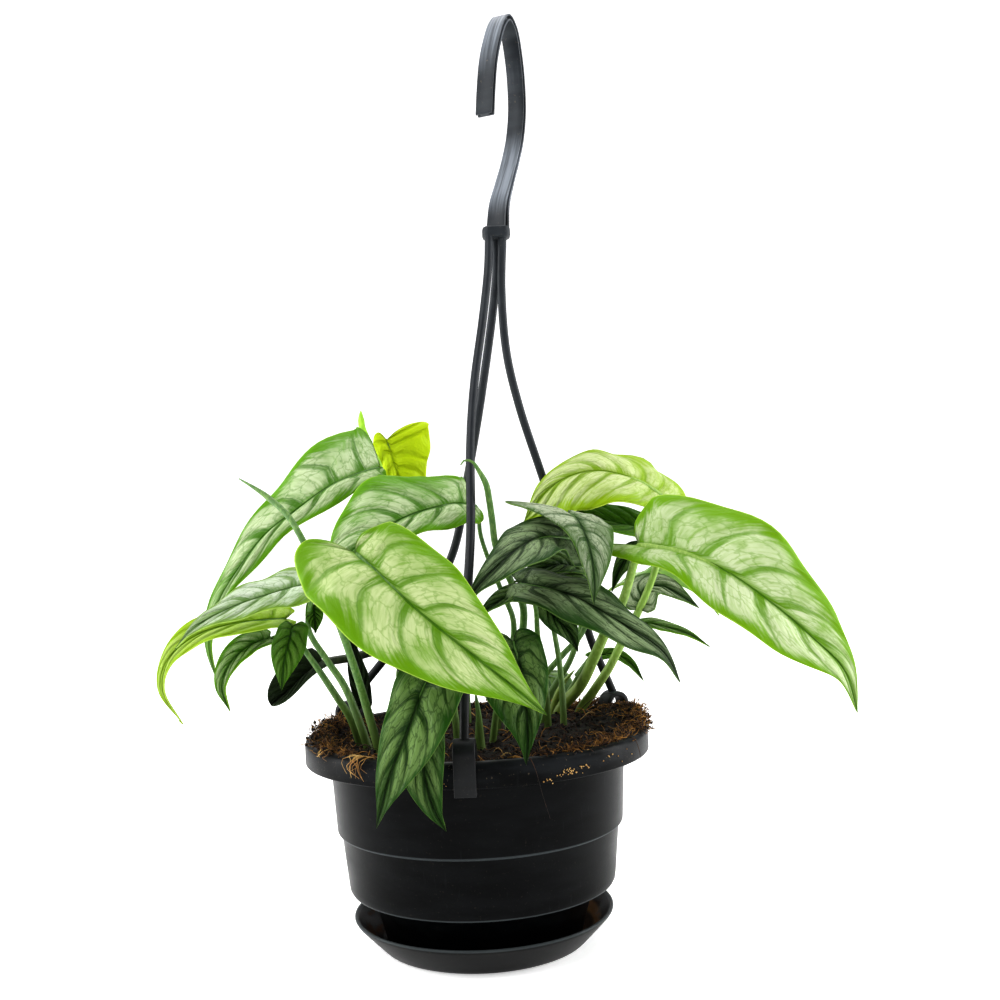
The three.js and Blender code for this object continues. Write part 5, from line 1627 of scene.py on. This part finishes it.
@dataclass
class Soil:
    """Peat heaped in the pot, with coir fibres and crumbs, in millimetres and degrees."""

    level: float = 88.5
    grain: float = 0.66
    mound: float = 5.5
    mound_angle: float = 12
    mound_spread: float = 34
    neck: float = 64.4
    bottom: float = 83
    core: float = 60
    brim: float = 90.5
    neck_gap: float = 2.15
    neck_slope: float = 0.75
    steps: int = 160
    rings: int = 64
    rim: float = 75
    farthest: float = 77.5
    seed: int = 7
    spills: tuple[Spill, ...] = (
        Spill(4, 15, 71, 2.6, 91.2, 6.5, 900), Spill(30, 14, 69, 2.4, 91.0, 4.5, 420),
        Spill(-45, 9, 69.5, 1.8, 91.2, 1.6, 220), Spill(-62, 5, 69.5, 1.6, 91.2, 1.6, 70),
        Spill(-152, 9, 69.5, 1.9, 91.2, 1.8, 240), Spill(166, 12, 68.5, 2.6, 91.0, 5.0, 460),
        Spill(-25, 10, 68.5, 1.6, 91.2, 1.4, 120), Spill(80, 30, 68, 1.6, 91.0, 1.6, 160),
    )
    flakes: tuple[Spill, ...] = (
        Spill(-62.5, 1.9, 75.25, 0.12, 84.2, 2.6, 26), Spill(-57, 1.3, 75.25, 0.12, 85.6, 1.4, 14),
        Spill(-69, 0.6, 75.25, 0.1, 82.4, 2.6, 7), Spill(-98, 3.0, 75.2, 0.1, 83.0, 3.0, 9),
        Spill(-40, 9, 75.2, 0.1, 84.0, 5.0, 8),
    )
    fibres: tuple[tuple[Point, ...], ...] = (
        ((17, -66, 90.5), (19.5, -72, 92.4), (21.6, -73.8, 88), (24, -73.5, 78), (26.6, -72, 68.5)),
        ((62, -40, 92.2), (64.5, -41.5, 91), (66, -42, 86), (67, -42.5, 80)),
        ((46, 20, 92), (52, 14, 99), (60, 8, 103), (68, 2, 100)),
        ((-62, 18, 92), (-66, 14, 100), (-69, 10, 105)),
        ((-60, -12, 91), (-68, -16, 95), (-73, -18, 97)),
        ((34, -52, 91), (40, -58, 95), (47, -60, 93), (50, -58, 91)),
    )
    litter: tuple[Litter, ...] = (
        Litter("coir_fibres", 330, 0.6, 1.8, Ware.COIR),
        Litter("dark_fibres", 900, 0.35, 1.2, Ware.HUSK),
        Litter("peat_crumbs", 1500, 0.4, 0.8, Ware.PEAT),
    )
    root_clumps: tuple[tuple[int, float, float, Pair], ...] = (
        (11, -131, 2.2, (2, 9)), (5, -150, 3.5, (0.5, 2)),
    )
    single_roots: int = 18

    def height(self, radius: float, angle: float) -> float:
        """Gives the soil's height at a place.

        Args:
            radius: How far from the pot's axis.
            angle: Where round it, in radians.

        Returns:
            The height in millimetres.
        """
        lumps = math.cos(5 * angle + 0.21 * radius) + math.cos(-3 * angle + 0.33 * radius)
        off = math.degrees(math.atan2(
            math.sin(angle - math.radians(self.mound_angle)),
            math.cos(angle - math.radians(self.mound_angle)),
        ))
        heap = self.mound * math.exp(-((off / self.mound_spread) ** 2)) * (radius / self.neck) ** 2
        x, y = radius * math.cos(angle), radius * math.sin(angle)
        rough = noise.fractal(Vector((x, y, 0)) * 0.16, 0.9, 2.1, 5) * 1.5
        return self.level + self.grain * lumps + heap + rough

    def edge(self, angle: float) -> float:
        """Gives how far out the soil reaches."""
        height = min(self.height(self.neck, angle), self.brim)
        return self.neck - self.neck_gap + (height - self.bottom) * self.neck_slope

    def body(self) -> None:
        """Makes the lumpy surface as a closed cake in the pot's neck."""
        angles = np.linspace(0, TURN, self.steps, endpoint=False)
        rings = [
            np.array([polar(self.core * share, a, self.bottom) for a in angles])
            for share in (0.02, 0.94)
        ]
        for share in np.linspace(1, 0.012, self.rings):
            rings.append(np.array([
                polar(self.edge(a) * share, a, self.height(self.neck * share, a)) for a in angles
            ]))
        piece = loft("soil_surface", rings)
        bpy.ops.object.shade_smooth()
        hand_over(piece, ["soil"], finish_of(Ware.PEAT))

    def strand(self, bend: float, radius: float) -> np.ndarray:
        """Draws one short fibre and gives its triangles' corners.

        Args:
            bend: How far it bends.
            radius: How thick it is.

        Returns:
            The corners in metres.
        """
        share = np.linspace(0, 1, 7)
        line = np.stack([
            share * 10 - 5, bend * np.sin(share * math.pi) * 3, 1.2 * np.sin(share * TURN + bend),
        ], axis=1)
        piece = rod("strand", line, radius * (1 - 0.5 * np.abs(share - 0.4)), 0)
        with editing(piece):
            bpy.ops.mesh.quads_convert_to_tris()
        points = get_points(piece)
        faces = np.array([tuple(p.vertices)[:3] for p in piece.data.polygons])
        bpy.data.objects.remove(piece)
        return points[faces]

    def crumb(self, rng: random.Random) -> np.ndarray:
        """Makes one rough crumb and gives its triangles' corners.

        Args:
            rng: The source of chance.

        Returns:
            The corners in metres.
        """
        bpy.ops.mesh.primitive_ico_sphere_add(subdivisions=1, radius=1 * MM)
        piece = fresh("crumb")
        points = get_points(piece)
        points *= np.array([[rng.uniform(0.6, 1.3)] for _ in points])
        faces = np.array([tuple(p.vertices) for p in piece.data.polygons])
        bpy.data.objects.remove(piece)
        return points[faces]

    def scattered(
        self, name: str, shapes: Sequence[np.ndarray], places: Sequence[Spot], finish: Ware,
    ) -> None:
        """Copies the shapes to the places as one piece.

        Args:
            name: The piece's name.
            shapes: Triangle corners of each shape, in metres.
            places: Where each copy goes, in millimetres, and how it is turned and sized.
            finish: Its finish.
        """
        corners = []
        for k, (spot, turn) in enumerate(places):
            shape = shapes[k % len(shapes)]
            corners.append(shape @ np.array(turn).T + np.array(spot) * MM)
        soup = np.concatenate(corners)
        mesh = bpy.data.meshes.new(name)
        faces = np.arange(len(soup) * 3).reshape(-1, 3)
        mesh.from_pydata(soup.reshape(-1, 3).tolist(), [], faces.tolist())
        piece = bpy.data.objects.new(name, mesh)
        bpy.context.collection.objects.link(piece)
        with editing(piece):
            bpy.ops.mesh.remove_doubles(threshold=0.001 * MM)
        bpy.ops.object.shade_smooth()
        hand_over(piece, (), finish_of(finish))

    def tumbled(self, rng: random.Random, tilt: float) -> Matrix:
        """Turns a bit at random about the upright axis, tilts it and rolls it.

        Args:
            rng: The source of chance.
            tilt: How far it tilts as a rule, in radians.

        Returns:
            The turn.
        """
        return (
            Matrix.Rotation(rng.uniform(0, TURN), 3, "Z")
            @ Matrix.Rotation(rng.gauss(0, tilt), 3, "Y")
            @ Matrix.Rotation(rng.uniform(0, TURN), 3, "X")
        )

    def spots(self, rng: random.Random, litter: Litter) -> list[Spot]:
        """Chooses places and turns for bits that lie on the soil.

        Args:
            rng: The source of chance.
            litter: The bits to be placed.

        Returns:
            A place and a turn for each bit.
        """
        found = []
        for _ in range(litter.count):
            angle = rng.uniform(0, TURN)
            share = rng.uniform(0, 1) ** (0.5 if rng.random() > litter.edge_bias else 0.12)
            radius = self.edge(angle) * share
            height = self.height(self.neck * share, angle) + rng.uniform(0, litter.lift)
            size = rng.uniform(0.5, 1.15)
            found.append((Vector(polar(radius, angle, height)), self.tumbled(rng, 0.35) * size))
        return found

    def heap(self, rng: random.Random, spill: Spill) -> list[Spot]:
        """Chooses places and turns for the bits of one clump on the rim.

        Args:
            rng: The source of chance.
            spill: The clump to be placed.

        Returns:
            A place and a turn for each bit.
        """
        found = []
        for _ in range(spill.count):
            angle = math.radians(rng.gauss(spill.azimuth, spill.spread))
            radius = min(rng.gauss(spill.radius, spill.depth), self.farthest)
            off = math.exp(-(((math.degrees(angle) - spill.azimuth) / spill.spread / 1.6) ** 2))
            height = spill.low + rng.random() * spill.height * off
            if radius > self.rim:
                height -= (radius - self.rim) * rng.uniform(0.5, 3)
            turn = self.tumbled(rng, 0.5) * rng.uniform(0.35, 0.85)
            found.append((Vector(polar(radius, angle, height)), turn))
        return found

    def overhang(self, rng: random.Random, azimuth: float, length: float) -> list[Point]:
        """Draws a root that comes over the rim and hangs down its outside.

        Args:
            rng: The source of chance.
            azimuth: Where it crosses the rim, in degrees.
            length: How far it hangs down.

        Returns:
            The places along it.
        """
        top = 91
        over = ((69, 91.5), (73, 92.6), (75.5, top), (75.8, top - length / 2), (75.9, top - length))
        return [polar(r, math.radians(azimuth + rng.gauss(0, 1.1)), height) for r, height in over]

    def roots(self, rng: random.Random) -> None:
        """Lays single roots and long fibres where they show on the soil and the rim.

        Args:
            rng: The source of chance.
        """
        pale = [
            self.overhang(rng, rng.gauss(azimuth, spread), rng.uniform(*lengths))
            for count, azimuth, spread, lengths in self.root_clumps for _ in range(count)
        ]
        for _ in range(self.single_roots):
            angle, radius = rng.uniform(0, TURN), rng.uniform(36, 66)
            x, y, z = polar(radius, angle, self.height(radius, angle) + 0.6)
            dx, dy = rng.uniform(-5, 5), rng.uniform(-5, 5)
            crest = (x, y, z + rng.uniform(0.5, 2.5))
            pale.append([(x - dx, y - dy, z - 0.8), crest, (x + dx, y + dy, z - 0.8)])
        parts = [
            self.root(f"pale_root_{k}", line, rng.uniform(0.16, 0.32))
            for k, line in enumerate(pale)
        ]
        hand_over(joined("pale_roots", parts), (), finish_of(Ware.ROOT))
        parts = [self.root(f"long_fibre_{k}", line, 0.2) for k, line in enumerate(self.fibres)]
        hand_over(joined("long_fibres", parts), (), finish_of(Ware.HUSK))

    def root(self, name: str, line: Sequence[Point], radius: float) -> Piece:
        """Draws one thin root along a line.

        Args:
            name: The root's name.
            line: The places that it runs through.
            radius: How thick it starts.

        Returns:
            The root.
        """
        rail = Rail(line)
        share = np.linspace(0, 1, max(6, int(rail.length / 1.5)))
        return rod(name, rail.place(share), radius * (1 - 0.7 * share), 0)

    def build(self) -> None:
        """Makes the peat, its fibres, crumbs and loose roots."""
        rng = random.Random(self.seed)
        self.body()
        self.roots(rng)
        strands = [self.strand(rng.uniform(-1, 1), rng.uniform(0.16, 0.26)) for _ in range(8)]
        crumbs = [self.crumb(rng) for _ in range(6)]
        for litter in self.litter:
            shapes = crumbs if litter.finish is Ware.PEAT else strands
            self.scattered(litter.name, shapes, self.spots(rng, litter), litter.finish)
        heaps = [spot for spill in self.spills for spot in self.heap(rng, spill)]
        self.scattered("rim_fibres", strands, heaps[::2], Ware.COIR)
        self.scattered("rim_husks", strands, heaps[1::3], Ware.HUSK)
        self.scattered("rim_crumbs", crumbs, heaps[2::3], Ware.PEAT)
        flakes = [
            (spot, turn * 0.5) for spill in self.flakes for spot, turn in self.heap(rng, spill)
        ]
        self.scattered("rim_flakes", crumbs, flakes, Ware.ROOT)


# Studio


@dataclass(frozen=True)
class Lamp:
    """A soft lamp, square or a tall strip, in metres and watts."""

    spot: Point
    size: float
    power: float
    target: Point = (0, 0, 0.17)
    tall: float = 0

    def hang(self) -> None:
        """Hangs the lamp so that it looks at its target."""
        aim = (Vector(self.target) - Vector(self.spot)).to_track_quat("-Z", "Y").to_euler()
        bpy.ops.object.light_add(type="AREA", location=self.spot, rotation=aim)
        lamp = bpy.context.object.data
        lamp.size = self.size
        lamp.energy = self.power
        if self.tall:
            lamp.shape = "RECTANGLE"
            lamp.size_y = self.tall


@dataclass
class Studio:
    """A pale floor, soft light and the camera, in metres and degrees."""

    distance: float = 0.540
    height: float = 0.187
    yaw: float = -1.55
    pitch: float = 0.5
    roll: float = -2.48
    lens: float = 43.98
    sensor: float = 36
    nearest: float = 0.01
    gamma: float = 0.8
    sky: float = 0.38
    floor_size: float = 7
    wall_height: float = 4
    bend_mm: float = 900
    floor_glow: float = 0.5
    lamps: tuple[Lamp, ...] = (
        Lamp((-1.1, -1.0, 1.5), 0.9, 25), Lamp((1.5, -0.7, 1.1), 0.9, 11),
        Lamp((0.1, 0.6, 1.9), 1.1, 18), Lamp((-1.0, 0.10, 0.3), 0.16, 9, (0, 0, 0.12), 0.9),
        Lamp((1.0, 0.14, 0.3), 0.16, 9, (0, 0, 0.12), 0.9),
    )

    def camera(self) -> None:
        """Stands the camera where the photograph was taken."""
        yaw, pitch, roll = (math.radians(v) for v in (self.yaw, self.pitch, self.roll))
        right0 = Vector((math.cos(yaw), math.sin(yaw), 0))
        level = math.cos(pitch)
        ahead = Vector((-math.sin(yaw) * level, math.cos(yaw) * level, math.sin(pitch)))
        up0 = right0.cross(ahead)
        right = right0 * math.cos(roll) + up0 * math.sin(roll)
        up = up0 * math.cos(roll) - right0 * math.sin(roll)
        bpy.ops.object.camera_add()
        camera = bpy.context.object
        turn = Matrix((right, up, -ahead)).transposed().to_4x4()
        turn.translation = Vector((0, -self.distance, self.height))
        camera.matrix_world = turn
        camera.data.lens = self.lens
        camera.data.sensor_width = self.sensor
        camera.data.clip_start = self.nearest
        bpy.context.scene.camera = camera

    def floor(self) -> None:
        """Lays a pale floor that curves up into a backdrop."""
        bpy.ops.mesh.primitive_plane_add(size=self.floor_size)
        piece = fresh("studio_floor")
        with editing(piece):
            mesh = bmesh.from_edit_mesh(piece.data)
            bpy.ops.mesh.select_all(action="DESELECT")
            for edge in mesh.edges:
                if all(vertex.co.y > 0 for vertex in edge.verts):
                    edge.select = True
            bmesh.update_edit_mesh(piece.data)
            up = {"value": (0, 0, self.wall_height)}
            bpy.ops.mesh.extrude_region_move(TRANSFORM_OT_translate=up)
        round_edges(piece, self.bend_mm, 16)
        shade_soft(piece, 60)
        shop = Workshop("pale_floor")
        shop.surface(
            Base_Color=colour("f6f6f6"), Roughness=0.9, Emission_Color=colour("ffffff"),
            Emission_Strength=self.floor_glow,
        )
        piece.data.materials.append(shop.material)

    def build(self) -> None:
        """Sets the stage."""
        self.camera()
        self.floor()
        for lamp in self.lamps:
            lamp.hang()
        scene = bpy.context.scene
        world = scene.world or bpy.data.worlds.new("studio")
        scene.world = world
        world.use_nodes = True
        sky = world.node_tree.nodes["Background"]
        sky.inputs[0].default_value = (1, 1, 1, 1)
        sky.inputs[1].default_value = self.sky
        scene.view_settings.view_transform = "Standard"
        scene.view_settings.gamma = self.gamma


def main() -> None:
    """Dresses the solids and sets the stage."""
    logging.basicConfig(level=logging.INFO, format="%(message)s")
    drop_selection()
    for assembly in (Studio(), Saucer(), Pot(), Hanger(), Soil()):
        assembly.build()
    for node, leaves in FOLIAGE.items():
        Foliage(node, leaves).build()


if __name__ == "__main__":
    main()
